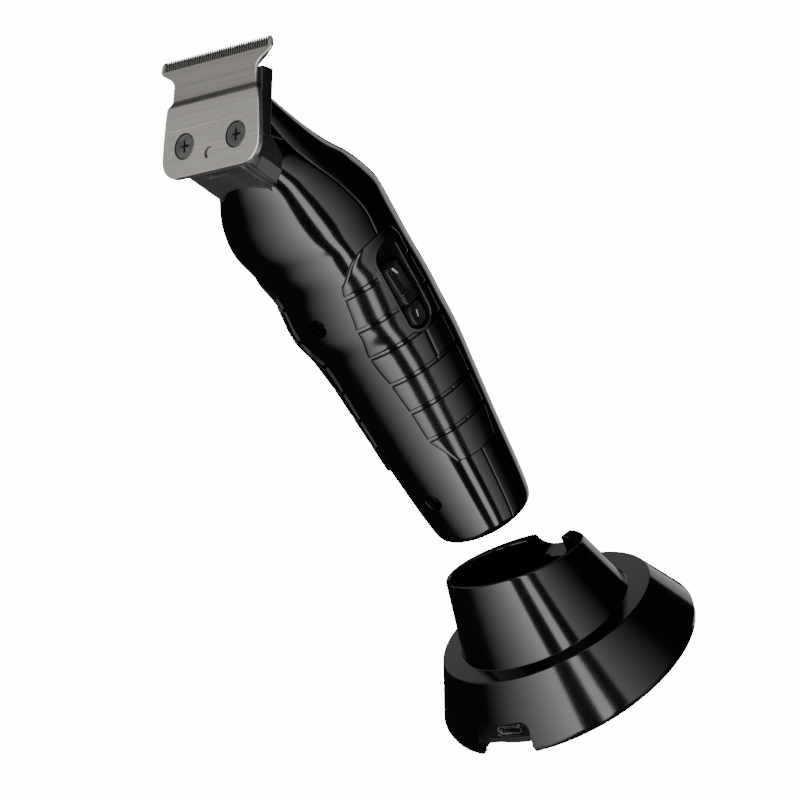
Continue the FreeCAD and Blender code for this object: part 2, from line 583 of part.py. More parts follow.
def switches():
    """The tray in the side window, the on-off slider, the speed button and what they work."""
    wall = window_cutter("bezel_outer", "0", "bezel_floor_x", "bezel_face_x")
    room = window_cutter("bezel_room", "-bezel_wall", "bezel_floor_x+bezel_floor_thick", "30")
    stem_slot = box("stem_slot", "10", "window_y-1.3", "slider_low+2", "20", "2.6", "slider_high-slider_low+1.4")
    button_hole = rod_along_x("button_hole", "1.7", "10", "20", "window_y", "(button_low+button_high)/2")
    keep(cut("bezel_body", wall, room, stem_slot, button_hole), "switch_bezel", "clipper_rest")

    thumb = box("thumb_piece", "bezel_floor_x+bezel_floor_thick+0.3", "window_y-slider_wide/2", "slider_low",
                "slider_face_x-bezel_floor_x-bezel_floor_thick-0.3", "slider_wide", "slider_high-slider_low")
    dish = rod_along_y("thumb_dish", "7.0", "-20", "10", "slider_face_x+5.8", "slider_high-5")
    stem = box("thumb_stem", "16.0", "window_y-1.0", "slider_low+4", "3", "2.0", "3")
    thumb_cut = cut("thumb_cut", thumb, dish)
    keep(fuse("slider_body", thumb_cut, stem), "power_slider", "clipper_rest")

    key_block = box("speed_key_block", "bezel_floor_x+bezel_floor_thick+1.0", "window_y-3.3", "button_low",
                    "button_face_x-bezel_floor_x-bezel_floor_thick-1.0", "6.6", "button_high-button_low")
    key = common("speed_key", key_block, window_cutter("speed_key_limit", "-bezel_wall-0.3", "10", "30"))
    key_stem = rod_along_x("speed_key_stem", "1.3", "16.9", "19", "window_y", "(button_low+button_high)/2")
    keep(fuse("button_body", key, key_stem), "speed_button", "clipper_rest")

    board = box("control_board_body", "board_x", "-8", "59", "board_thick", "10.4", "38")
    keep(board, "control_board", "clipper_rest")
    module = box("switch_module_body", "board_x+board_thick", "window_y-2.6", "77", "2.2", "5.2", "14")
    lever_slot = box("switch_lever_slot", "15.7", "window_y-1.4", "79", "3", "2.8", "10")
    keep(cut("switch_module_cut", module, lever_slot), "power_switch", "clipper_rest")
    tact = box("tact_switch_body", "board_x+board_thick", "window_y-2.2", "(button_low+button_high)/2-2.2", "1.6",
               "4.4", "4.4")
    keep(tact, "speed_switch", "clipper_rest")


def power_pack():
    """The lithium cell and the cradle that holds it."""
    cell = new_body("cell_body")
    spin(cell, (("0", "cell_low"), ("cell_radius-0.4", "cell_low"), ("cell_radius", "cell_low+0.4"),
                ("cell_radius", "cell_high-1.4"), ("cell_radius-0.8", "cell_high-1.0"), ("3", "cell_high-1.0"),
                ("3", "cell_high"), ("0", "cell_high")))
    keep(cell, "battery_cell", "clipper_rest")
    foot = rod("cradle_foot", "10.4", "cell_low-1.2", "cell_low")
    top = rod("cradle_top", "10.4", "cell_high", "cell_high+1.2")
    spine = box("cradle_spine", "-5", "8.0", "cell_low-1.2", "10", "3.0", "cell_high-cell_low+2.4")
    hollow = rod("cradle_hollow", "cell_radius+0.05", "cell_low", "cell_high")
    keep(cut("cradle_body", fuse("cradle_frame", foot, top, spine), hollow), "battery_cradle", "clipper_rest")


def motor():
    """The can, end bell, mount, rotor, shaft and the eccentric that drives the cutter."""
    can = new_body("can_body")
    spin(can, (("motor_radius-1", "motor_low+2"), ("motor_radius", "motor_low+2"), ("motor_radius", "motor_high"),
               ("shaft_radius+0.08", "motor_high"), ("shaft_radius+0.08", "motor_high-1.2"),
               ("motor_radius-1", "motor_high-1.2")))
    bind(can, at_y="motor_y")
    keep(can, "motor_can", "clipper_rest")
    bell = new_body("bell_body")
    spin(bell, (("0", "motor_low"), ("motor_radius-0.5", "motor_low"), ("motor_radius", "motor_low+0.5"),
                ("motor_radius", "motor_low+2"), ("shaft_radius+0.08", "motor_low+2"),
                ("shaft_radius+0.08", "motor_low+1"), ("0", "motor_low+1")))
    bind(bell, at_y="motor_y")
    keep(bell, "motor_end_bell", "clipper_rest")
    mount = new_body("mount_body")
    spin(mount, (("shaft_radius+1.5", "motor_high"), ("12.2", "motor_high"), ("12.2", "motor_high+2.6"),
                 ("shaft_radius+1.5", "motor_high+2.6")))
    bind(mount, at_y="motor_y")
    keep(mount, "motor_mount", "clipper_rest")
    bush = new_body("bush_body")
    spin(bush, (("shaft_radius+0.06", "motor_high"), ("shaft_radius+1.5", "motor_high"),
                ("shaft_radius+1.5", "motor_high+3.2"), ("shaft_radius+0.06", "motor_high+3.2")))
    bind(bush, at_y="motor_y")
    keep(bush, "shaft_bush", "clipper_rest")
    core = new_body("core_body")
    spin(core, (("shaft_radius", "motor_low+5"), ("motor_radius-1.8", "motor_low+5"),
                ("motor_radius-1.8", "motor_high-4"), ("shaft_radius", "motor_high-4")))
    bind(core, at_y="motor_y")
    keep(core, "rotor_core", "clipper_rest")
    shaft = rod("shaft_body", "shaft_radius", "motor_low+1.2", "cam_low+2.4", "0", "motor_y")
    keep(shaft, "motor_shaft", "clipper_rest")
    disc = rod("cam_disc", "cam_radius", "cam_low", "cam_low+3.2", "0", "motor_y")
    pin = rod("cam_pin", "drive_pin_radius", "cam_low+1", "drive_pin_top", "0", "motor_y-cam_offset")
    bore = rod("cam_bore", "shaft_radius", "cam_low-1", "cam_low+2.4", "0", "motor_y")
    keep(cut("cam_body", fuse("cam_solid", disc, pin), bore), "eccentric_cam", "clipper_rest")


# ---------------------------------------------------------------- head

def comb_slots(name, reach, low_t, high_t, deep):
    """The gaps between teeth across the blade's edge."""
    count = int(2 * size(reach) / size("tooth_pitch"))
    start = -0.5 * (count - 1) * size("tooth_pitch")
    slots = [box(f"{name}_{n}", f"{start}+{n}*tooth_pitch-tooth_gap/2", f"tooth_tip-({deep})", low_t, "tooth_gap",
                 "10", f"({high_t})-({low_t})") for n in range(count)]
    return group(name, *slots)


def fixed_blade():
    """The T-shaped outer blade: thick heel, ground bevel band, thin comb."""
    half = [(18.3, 6.0), (18.2, 9.0), (17.2, 20.4), (15.7, 21.8), (15.4, 26.8), (16.2, 28.4), (18.0, 29.6),
            (19.4, 30.4), (20.2, 31.6), (20.2, 33.8), (19.6, 34.6)]
    corner = [(18.3 - 6.0 * (1 - math.cos(math.radians(a))), 6.0 - 6.0 * math.sin(math.radians(a)))
              for a in (90, 67.5, 45, 22.5)]
    right = corner + half
    points = [V(x, y, 0) for x, y in right] + [V(-x, y, 0) for x, y in reversed(right)]
    plate = prism("blade_plate", points, V(0, 0, -1), "0", "blade_thick")
    grind = prism("blade_grind", [V(0, 20.6, 0.1), V(0, 20.6, 0), V(0, 22.2, -0.55), V(0, 36, -1.6),
                                  V(0, 36, 0.1)], V(1, 0, 0), "-30", "30")
    slots = comb_slots("blade_gaps", "tee_half_wide-1.6", "-3", "1", "tooth_deep")
    holes = []
    for n, side in enumerate((-1, 1)):
        hole = bind(doc.addObject("Part::Cone", f"blade_sink_{n}"), Radius1="blade_screw_radius+0.2",
                    Radius2="blade_screw_head+0.15", Height="1.8", at_x=f"{side}*blade_screw_x",
                    at_y="blade_screw_up", at_z="-1.8")
        through = rod(f"blade_hole_{n}", "blade_screw_radius+0.2", "-3", "0", f"{side}*blade_screw_x", "blade_screw_up")
        holes += [hole, through]
    peg = rod("blade_peg_hole", "1.2", "-3", "1", "0", "5.4")
    keep_tipped(cut("fixed_blade_body", plate, grind, slots, peg, *holes), "fixed_blade")


def moving_blade():
    """The cutter behind the comb, the yoke that drives it and the spring that presses it."""
    top = "-blade_thick-cutter_gap"
    points = [V(12, 15, 0), V(12, 27, 0), V(17.4, 30.4, 0), V(17.4, 34.0, 0), V(-17.4, 34.0, 0),
              V(-17.4, 30.4, 0), V(-12, 27, 0), V(-12, 15, 0)]
    plate = prism("cutter_plate", points, V(0, 0, -1), "blade_thick+cutter_gap",
                  "blade_thick+cutter_gap+cutter_thick")
    slots = comb_slots("cutter_gaps", "17", "-6", "0", "3.4")
    keep_tipped(cut("cutter_body", plate, slots), "cutter_blade")
    floor = f"({top}-cutter_thick-yoke_thick)"
    block = box("yoke_block", "-yoke_half_wide", "15.5", floor, "2*yoke_half_wide", "9.5", "yoke_thick")
    fork = box("yoke_fork", "-yoke_slot_half", "14.0", f"{floor}-1", "2*yoke_slot_half", "8.4", "yoke_thick+2")
    keep_tipped(cut("yoke_body", block, fork), "cutter_yoke")
    back = "(blade_thick+cutter_gap+cutter_thick+yoke_thick+0.3)"
    strip = box("spring_strip", "-8", "11.5", f"-{back}-0.5", "16", "2.4", "0.5")
    fingers = [box(f"spring_finger_{n}", f"{side}*6.8-1.2", "13.5", f"-{back}-0.5", "2.4", "8.5", "0.5")
               for n, side in enumerate((-1, 1))]
    keep_tipped(fuse("spring_body", strip, *fingers), "cutter_spring")


def blade_mounting():
    """The bracket under the heel of the blade, and its two countersunk screws."""
    block = bracket_profile("bracket_form")
    slot = box("bracket_slot", "-3.4", "-4", "-5.4", "6.8", "6", "1.5")
    bores = [rod(f"bracket_bore_{n}", "blade_screw_radius", "-10", "0", f"{side}*blade_screw_x", "blade_screw_up")
             for n, side in enumerate((-1, 1))]
    recess = cut("bracket_cut", block, slot, *bores)
    keep_tipped(recess, "blade_bracket")
    screws = []
    for n, side in enumerate((-1, 1)):
        screw = new_body(f"blade_screw_{n}")
        spin(screw, (("0", "-9.5"), ("blade_screw_radius", "-9.5"), ("blade_screw_radius", "-1.75"),
                     ("blade_screw_head", "-0.1"), ("0", "-0.1")))
        cross = [box(f"blade_cross_{n}_{k}", f"-{a}", f"-{b}", "-1.1", f"2*{a}", f"2*{b}", "2")
                 for k, (a, b) in enumerate(((1.5, 0.3), (0.3, 1.5)))]
        made = cut(f"blade_screw_{n}_cut", screw, *cross)
        bind(made, at_x=f"{side}*blade_screw_x", at_y="blade_screw_up")
        screws.append(made)
    keep_tipped(group("blade_screw_set", *screws), "blade_screws")


# ---------------------------------------------------------------- build, check and write

stand_shell()
stand_base()
stand_electrics()
housings()
grips()
bottom_end()
case_screws()
switches()
power_pack()
motor()
fixed_blade()
moving_blade()
blade_mounting()
doc.recompute()

for thing in doc.Objects:
    if "Invalid" in thing.State or "Error" in thing.State:
        raise RuntimeError(f"{thing.Name} failed: {thing.State}")
for part in parts:
    shape = part.Shape
    if shape.isNull() or not shape.isValid() or not shape.Solids:
        raise RuntimeError(f"{part.Label} is not a valid solid")
    shape.exportStep(f"parts/{part.Label}.step")
    bounds = shape.BoundBox
    print(f"{part.Label:20s} solids {len(shape.Solids)}  volume {shape.Volume:9.1f}  "
          f"x {bounds.XMin:6.1f} {bounds.XMax:6.1f}  y {bounds.YMin:6.1f} {bounds.YMax:6.1f}  "
          f"z {bounds.ZMin:6.1f} {bounds.ZMax:6.1f}")
print(len(parts), "sub-parts")
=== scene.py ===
import logging
import math
from dataclasses import dataclass, field
from enum import Enum
from typing import Callable, Iterable, Sequence

import bmesh
import bpy
from mathutils import Matrix, Vector


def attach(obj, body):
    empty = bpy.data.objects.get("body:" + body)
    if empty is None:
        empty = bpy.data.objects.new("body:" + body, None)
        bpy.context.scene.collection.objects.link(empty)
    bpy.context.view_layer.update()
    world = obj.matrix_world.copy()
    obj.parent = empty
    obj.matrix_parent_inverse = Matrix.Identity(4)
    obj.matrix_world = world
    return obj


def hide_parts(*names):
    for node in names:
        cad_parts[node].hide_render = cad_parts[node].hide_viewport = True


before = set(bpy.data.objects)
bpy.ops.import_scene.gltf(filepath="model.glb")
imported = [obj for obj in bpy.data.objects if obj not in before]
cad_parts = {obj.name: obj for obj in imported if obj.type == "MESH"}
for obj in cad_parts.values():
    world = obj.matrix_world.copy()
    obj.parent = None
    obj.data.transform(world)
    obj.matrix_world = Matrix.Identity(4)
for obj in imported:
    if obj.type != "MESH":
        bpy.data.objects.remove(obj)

# A cordless T-blade hair clipper above its charging stand.  Sizes are in millimetres and are
# turned to metres when a mesh is made.  +Z is up, -Y is the belly side that the blade faces and
# +X is the switch side.  Clipper heights are counted from its own bottom face.

LOG = logging.getLogger("clipper")
MM = 0.001
REST = 57.0  # height of the clipper's bottom face above the table at rest
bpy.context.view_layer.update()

Point = tuple[float, float, float]
Flat = tuple[float, float]


# ---------------------------------------------------------------- numbers and curves

def blend(low: float, high: float, at: float) -> float:
    """A smooth step from 0 at low to 1 at high."""
    t = min(1.0, max(0.0, (at - low) / (high - low)))
    return t * t * (3.0 - 2.0 * t)


def bump(centre: float, reach: float, at: float) -> float:
    """A bell of height 1 about a centre."""
    return math.exp(-(((at - centre) / reach) ** 2))


class Curve:
    """A smooth curve through knots that never overshoots them."""

    def __init__(self, knots: Sequence[float], values: Sequence[float]) -> None:
        """Work out the slope at each knot.

        Args:
            knots: Places along the curve, rising.
            values: The value at each place.
        """
        self.knots, self.values = list(knots), list(values)
        runs = [b - a for a, b in zip(knots, knots[1:])]
        falls = [(b - a) / run for a, b, run in zip(values, values[1:], runs)]
        self.slopes = [falls[0]]
        for before, after in zip(falls, falls[1:]):
            even = 0.0 if before * after <= 0 else 2 * before * after / (before + after)
            self.slopes.append(even)
        self.slopes.append(falls[-1])

    def __call__(self, at: float) -> float:
        """The value at a place, held level past both ends."""
        knots, values = self.knots, self.values
        if at <= knots[0]:
            return values[0]
        if at >= knots[-1]:
            return values[-1]
        n = next(i for i in range(len(knots) - 1) if at <= knots[i + 1])
        run = knots[n + 1] - knots[n]
        t = (at - knots[n]) / run
        a, b = values[n], values[n + 1]
        p, q = self.slopes[n] * run, self.slopes[n + 1] * run
        return a + t * (p + t * (3 * (b - a) - 2 * p - q + t * (2 * (a - b) + p + q)))


class Loft:
    """Ellipses up a length, joined by smooth curves."""

    def __init__(self, rows: Sequence[tuple[float, float, float, float]]) -> None:
        """Keep rows of height, half width, half depth and shift in y."""
        heights = [row[0] for row in rows]
        self.wide, self.deep, self.shift = (Curve(heights, [row[n] for row in rows]) for n in (1, 2, 3))

    def angle(self, y: float, up: float) -> float:
        """The angle on the +X side where the ellipse at a height crosses y."""
        return math.asin(max(-1.0, min(1.0, (y - self.shift(up)) / self.deep(up))))

    def point(self, angle: float, up: float, out: float = 0.0) -> Point:
        """A point of the surface, pushed outwards.

        Args:
            angle: 0 at +X, a quarter turn at +Y.
            up: Height.
            out: How far outside the surface.

        Returns:
            The point in the loft's own heights.
        """
        wide, deep = self.wide(up), self.deep(up)
        across, along = math.cos(angle), math.sin(angle)
        nx, ny = across / wide, along / deep
        scale = out / math.hypot(nx, ny)
        return wide * across + nx * scale, self.shift(up) + deep * along + ny * scale, up


def rounded(corners: Sequence[tuple[float, float, float]], steps: int = 5) -> list[Flat]:
    """Round the inner corners of a run of straight lines.

    Args:
        corners: x, y and radius of each corner; the two ends stay sharp.
        steps: Points in each arc.

    Returns:
        The points of the rounded run.
    """
    points = [corners[0][:2]]
    for before, here, after in zip(corners, corners[1:], corners[2:]):
        at = Vector(here[:2])
        back, on = Vector(before[:2]) - at, Vector(after[:2]) - at
        half = back.angle(on) / 2
        reach = min(here[2] / math.tan(half), back.length * 0.48, on.length * 0.48)
        start, end = at + back.normalized() * reach, at + on.normalized() * reach
        for n in range(steps):
            t = n / (steps - 1)
            points.append(tuple((1 - t) ** 2 * start + 2 * t * (1 - t) * at + t * t * end))
    return points + [corners[-1][:2]]


def arc(x: float, y: float, radius: float, start: float, sweep: float, count: int) -> list[Flat]:
    """Points along an arc with both its ends; start and sweep are in half turns."""
    angles = [math.pi * (start + sweep * n / (count - 1)) for n in range(count)]
    return [(x + radius * math.cos(a), y + radius * math.sin(a)) for a in angles]


def circle(radius: float, count: int, x: float = 0.0, y: float = 0.0) -> list[Flat]:
    """Points round a circle."""
    angles = [math.tau * n / count for n in range(count)]
    return [(x + radius * math.cos(a), y + radius * math.sin(a)) for a in angles]


def racetrack(half_wide: float, low: float, high: float, inset: float, count: int = 18) -> list[Flat]:
    """A slot with round ends.

    Args:
        half_wide: Half its width.
        low: Its lowest height.
        high: Its highest height.
        inset: How far to draw it in, or less than 0 to let it out.
        count: Points in each round end.

    Returns:
        Points of width and height, anticlockwise.
    """
    radius = half_wide - inset
    return [*arc(0.0, high - half_wide, radius, 0.0, 1.0, count), *arc(0.0, low + half_wide, radius, 1.0, 1.0, count)]


def round_box(half_wide: float, low: float, high: float, corner: float, inset: float = 0.0,
              count: int = 6) -> list[Flat]:
    """A rectangle with rounded corners, as points of width and height, anticlockwise."""
    radius = max(corner - inset, 0.05)
    wide, bottom, top = half_wide - inset - radius, low + inset + radius, high - inset - radius
    middles = ((wide, top, 0.0), (-wide, top, 0.5), (-wide, bottom, 1.0), (wide, bottom, 1.5))
    return [point for x, up, turn in middles for point in arc(x, up, radius, turn, 0.5, count)]


def layers(axis: str, outline: Callable[[float], Sequence[Flat]], levels: Iterable[Flat],
           shift: Flat = (0.0, 0.0)) -> list[list[Point]]:
    """Rings of an outline at places along an axis.

    Args:
        axis: x, y or z; the outline's points fill the other two in order.
        outline: Gives the points for a number, such as an inset or a radius.
        levels: Each ring's place along the axis and its number.
        shift: Added to the outline's points.

    Returns:
        The rings for a tube.
    """
    at = "xyz".index(axis)
    rings = []
    for place, number in levels:
        points = [(a + shift[0], b + shift[1]) for a, b in outline(number)]
        rings.append([(*point[:at], place, *point[at:]) for point in points])
    return rings


def slab(axis: str, outline: Sequence[Flat], start: float, end: float, shift: Flat = (0.0, 0.0)) -> list[list[Point]]:
    """The two rings of a straight block with one outline."""
    return layers(axis, lambda _: outline, ((start, 0.0), (end, 0.0)), shift)


def turned(section: Iterable[Flat], count: int, x: float = 0.0) -> list[list[Point]]:
    """Rings of a section of radius and height turned about an upright axis."""
    return layers("z", lambda radius: circle(radius, count, x), ((up, radius) for radius, up in section))


# ---------------------------------------------------------------- shader benches

class Value:
    """A shader socket that takes part in Python sums."""

    def __init__(self, bench: "Bench", socket: bpy.types.NodeSocket) -> None:
        """Hold a socket and the bench that it lies on."""
        self.bench, self.socket = bench, socket

    def __add__(self, other: "Value | float") -> "Value":
        """Self plus other."""
        return self.bench.maths("ADD", self, other)

    def __sub__(self, other: "Value | float") -> "Value":
        """Self minus other."""
        return self.bench.maths("SUBTRACT", self, other)

    def __rsub__(self, other: "Value | float") -> "Value":
        """Other minus self."""
        return self.bench.maths("SUBTRACT", other, self)

    def __mul__(self, other: "Value | float") -> "Value":
        """Self times other."""
        return self.bench.maths("MULTIPLY", self, other)

    __radd__ = __add__
    __rmul__ = __mul__


class Bench:
    """One material or light while its nodes are laid out."""

    def __init__(self, holder: bpy.types.ID) -> None:
        """Start with an empty tree.

        Args:
            holder: The material or light that the nodes belong to.
        """
        self.holder = holder
        holder.use_nodes = True
        self.tree = holder.node_tree
        self.tree.nodes.clear()
        self.place = Value(self, self.node("ShaderNodeTexCoord").outputs["Object"])

    def node(self, kind: str, settings: dict | None = None, **sockets: object) -> bpy.types.Node:
        """Add a node.

        Args:
            kind: The node's type.
            settings: Properties set first.
            **sockets: Values or links by socket name, with _ for a space.

        Returns:
            The node.
        """
        made = self.tree.nodes.new(kind)
        for name, value in (settings or {}).items():
            setattr(made, name, value)
        for name, value in sockets.items():
            numbered = name[0] == "n" and name[1:].isdigit()
            socket = made.inputs[int(name[1:]) if numbered else name.replace("_", " ")]
            if isinstance(value, Value):
                self.tree.links.new(value.socket, socket)
            else:
                socket.default_value = value
        return made

    def out(self, node: bpy.types.Node, name: str | int = 0) -> Value:
        """A node's output as a value."""
        return Value(self, node.outputs[name])

    def maths(self, operation: str, *terms: Value | float) -> Value:
        """A Math node on one to three terms."""
        return self.out(self.node("ShaderNodeMath", {"operation": operation},
                                  **{f"n{n}": term for n, term in enumerate(terms)}))

    def stretch(self, x: float, y: float, z: float, tilt: float = 0.0) -> Value:
        """Object coordinates stretched along each axis, after a turn about X in degrees."""
        turned = self.node("ShaderNodeMapping", Vector=self.place, Rotation=(math.radians(tilt), 0.0, 0.0))
        return self.out(self.node("ShaderNodeMapping", Vector=self.out(turned), Scale=(x, y, z)))

    def noise(self, scale: float, detail: float = 3.0, where: Value | None = None) -> Value:
        """Cloudy noise from 0 to 1."""
        return self.out(self.node("ShaderNodeTexNoise", Vector=where or self.place, Scale=scale, Detail=detail), 0)

    def spots(self, scale: float) -> Value:
        """Distance from scattered points."""
        return self.out(self.node("ShaderNodeTexVoronoi", Vector=self.place, Scale=scale), "Distance")

    def range(self, value: Value, low: float, high: float, to_low: float, to_high: float) -> Value:
        """A value mapped from one range to another and held inside it."""
        return self.out(self.node("ShaderNodeMapRange", Value=value, From_Min=low, From_Max=high,
                                  To_Min=to_low, To_Max=to_high))

    def mix(self, factor: Value | float, first: Point | Value, second: Point | Value) -> Value:
        """Two colours mixed."""
        colours = [(*c, 1.0) if isinstance(c, tuple) else c for c in (first, second)]
        made = self.node("ShaderNodeMix", {"data_type": "RGBA"}, n0=factor, n6=colours[0], n7=colours[1])
        return self.out(made, 2)

    def relief(self, height: Value, depth: float, strength: float = 1.0, under: Value | None = None) -> Value:
        """A bump of a depth in millimetres, over another one if given."""
        links = {"Height": height, "Distance": depth * MM, "Strength": strength}
        if under is not None:
            links["Normal"] = under
        return self.out(self.node("ShaderNodeBump", **links))

    def close(self, **sockets: object) -> bpy.types.Material:
        """Join a Principled surface to the output and give back the material."""
        surface = self.node("ShaderNodeBsdfPrincipled", **sockets)
        self.node("ShaderNodeOutputMaterial", Surface=self.out(surface))
        return self.holder


class Finish:
    """Anything that can give a material, made once."""

    made: dict[str, bpy.types.Material] = {}

    def material(self) -> bpy.types.Material:
        """The finish's material."""
        if self.name not in Finish.made:
            Finish.made[self.name] = self.mix_paint(Bench(bpy.data.materials.new(self.name)))
        return Finish.made[self.name]


@dataclass(frozen=True)
class MouldedPlastic(Finish):
    """Injection-moulded plastic: gentle orange peel, faint scuffs and a little dust."""

    name: str
    colour: Point
    roughness: float = 0.12
    peel: float = 0.004
    grain: float = 0.0
    dust: float = 0.006

    def mix_paint(self, bench: Bench) -> bpy.types.Material:
        """Lay out the nodes."""
        cloud = bench.noise(55.0, 4.0)
        fine = bench.noise(900.0, 2.0)
        scuff = bench.range(bench.noise(1.0, 6.0, bench.stretch(520.0, 520.0, 70.0)), 0.66, 0.8, 0.0, 1.0)
        dusty = bench.range(bench.noise(2600.0, 1.0), 0.72, 0.8, 0.0, self.dust)
        shade = bench.mix(bench.range(cloud, 0.3, 0.7, 0.0, 1.0), tuple(c * 0.8 for c in self.colour),
                          tuple(c * 1.2 for c in self.colour))
        colour = bench.mix(dusty, shade, (0.3, 0.29, 0.27))
        rough = bench.range(cloud, 0.25, 0.75, self.roughness * 0.88, self.roughness * 1.12) + scuff * 0.03 + dusty
        normal = bench.relief(bench.noise(240.0, 1.0), self.peel)
        if self.grain:
            normal = bench.relief(bench.noise(3200.0, 2.0), self.grain, 1.0, normal)
        return bench.close(Base_Color=colour, Roughness=rough + fine * 0.008, Normal=normal, IOR=1.5)


@dataclass(frozen=True)
class BrushedSteel(Finish):
    """Ground steel with fine lines one way and a few deeper scratches."""

    name: str
    colour: Point
    roughness: float = 0.3
    lines: Point = (14.0, 2600.0, 2600.0)
    tilt: float = -44.0
    depth: float = 0.003

    def mix_paint(self, bench: Bench) -> bpy.types.Material:
        """Lay out the nodes."""
        along = bench.stretch(*self.lines, tilt=self.tilt)
        hair = bench.noise(1.0, 5.0, along)
        band = bench.noise(0.12, 2.0, along)
        stain = bench.noise(70.0, 3.0)
        dark = tuple(c * 0.78 for c in self.colour)
        light = tuple(min(1.0, c * 1.12) for c in self.colour)
        colour = bench.mix(bench.range(hair * 0.7 + band * 0.3, 0.32, 0.68, 0.0, 1.0), dark, light)
        colour = bench.mix(bench.range(stain, 0.5, 0.8, 0.0, 0.18), colour, tuple(c * 0.6 for c in self.colour))
        rough = bench.range(hair, 0.2, 0.8, self.roughness * 0.8, self.roughness * 1.3)
        return bench.close(Base_Color=colour, Metallic=1.0, Roughness=rough + stain * 0.05,
                           Normal=bench.relief(hair, self.depth, 0.8))


@dataclass(frozen=True)
class TurnedMetal(Finish):
    """Plated or machined metal with fine pits and soft stains."""

    name: str
    colour: Point
    roughness: float = 0.25
    pits: float = 0.003

    def mix_paint(self, bench: Bench) -> bpy.types.Material:
        """Lay out the nodes."""
        stain, pit = bench.noise(300.0, 4.0), bench.spots(2400.0)
        colour = bench.mix(bench.range(stain, 0.35, 0.7, 0.0, 1.0), self.colour, tuple(c * 0.66 for c in self.colour))
        rough = bench.range(stain, 0.3, 0.7, self.roughness * 0.8, self.roughness * 1.35)
        return bench.close(Base_Color=colour, Metallic=1.0, Roughness=rough + (0.3 - pit) * 0.08,
                           Normal=bench.relief(pit, self.pits, 0.6))


@dataclass(frozen=True)
class SoftRubber(Finish):
    """Matt rubber with a fine cast texture and pale dust."""

    name: str
    colour: Point = (0.02, 0.02, 0.021)

    def mix_paint(self, bench: Bench) -> bpy.types.Material:
        """Lay out the nodes."""
        cast, dust = bench.noise(1500.0, 4.0), bench.noise(160.0, 5.0)
        colour = bench.mix(bench.range(dust, 0.5, 0.75, 0.0, 0.4), self.colour, (0.09, 0.088, 0.085))
        return bench.close(Base_Color=colour, Roughness=bench.range(cast, 0.2, 0.8, 0.7, 0.9),
                           Normal=bench.relief(cast, 0.02))


@dataclass(frozen=True)
class PrintedBoard(Finish):
    """Solder mask over glass cloth, with copper tracks showing through."""

    name: str
    colour: Point = (0.012, 0.12, 0.045)

    def mix_paint(self, bench: Bench) -> bpy.types.Material:
        """Lay out the nodes."""
        tracks = bench.out(bench.node("ShaderNodeTexBrick", Vector=bench.stretch(260.0, 260.0, 260.0),
                                      Scale=1.0, Mortar_Size=0.08), "Fac")
        weave = bench.noise(5200.0, 1.0)
        colour = bench.mix(tracks * 0.55, self.colour, tuple(c * 2.4 for c in self.colour))
        pads = bench.range(bench.spots(420.0), 0.1, 0.13, 1.0, 0.0)
        colour = bench.mix(pads, colour, (0.62, 0.6, 0.55))
        return bench.close(Base_Color=colour, Metallic=pads, Roughness=bench.range(weave, 0.3, 0.7, 0.28, 0.42),
                           Normal=bench.relief(tracks + pads, 0.03))


@dataclass(frozen=True)
class CellWrap(Finish):
    """Shrink-wrapped film with small wrinkles and a lighter band."""

    name: str
    colour: Point = (0.02, 0.09, 0.32)

    def mix_paint(self, bench: Bench) -> bpy.types.Material:
        """Lay out the nodes."""
        wrinkle = bench.noise(1.0, 4.0, bench.stretch(500.0, 500.0, 90.0))
        up = bench.node("ShaderNodeSeparateXYZ", Vector=bench.place)
        band = bench.range(bench.out(up, "Z"), 0.118, 0.1182, 0.0, 1.0)
        colour = bench.mix(band, self.colour, tuple(min(1.0, c * 2.2) for c in self.colour))
        return bench.close(Base_Color=bench.mix(wrinkle * 0.3, colour, (0.01, 0.03, 0.12)),
                           Roughness=bench.range(wrinkle, 0.2, 0.8, 0.22, 0.4), Normal=bench.relief(wrinkle, 0.05))


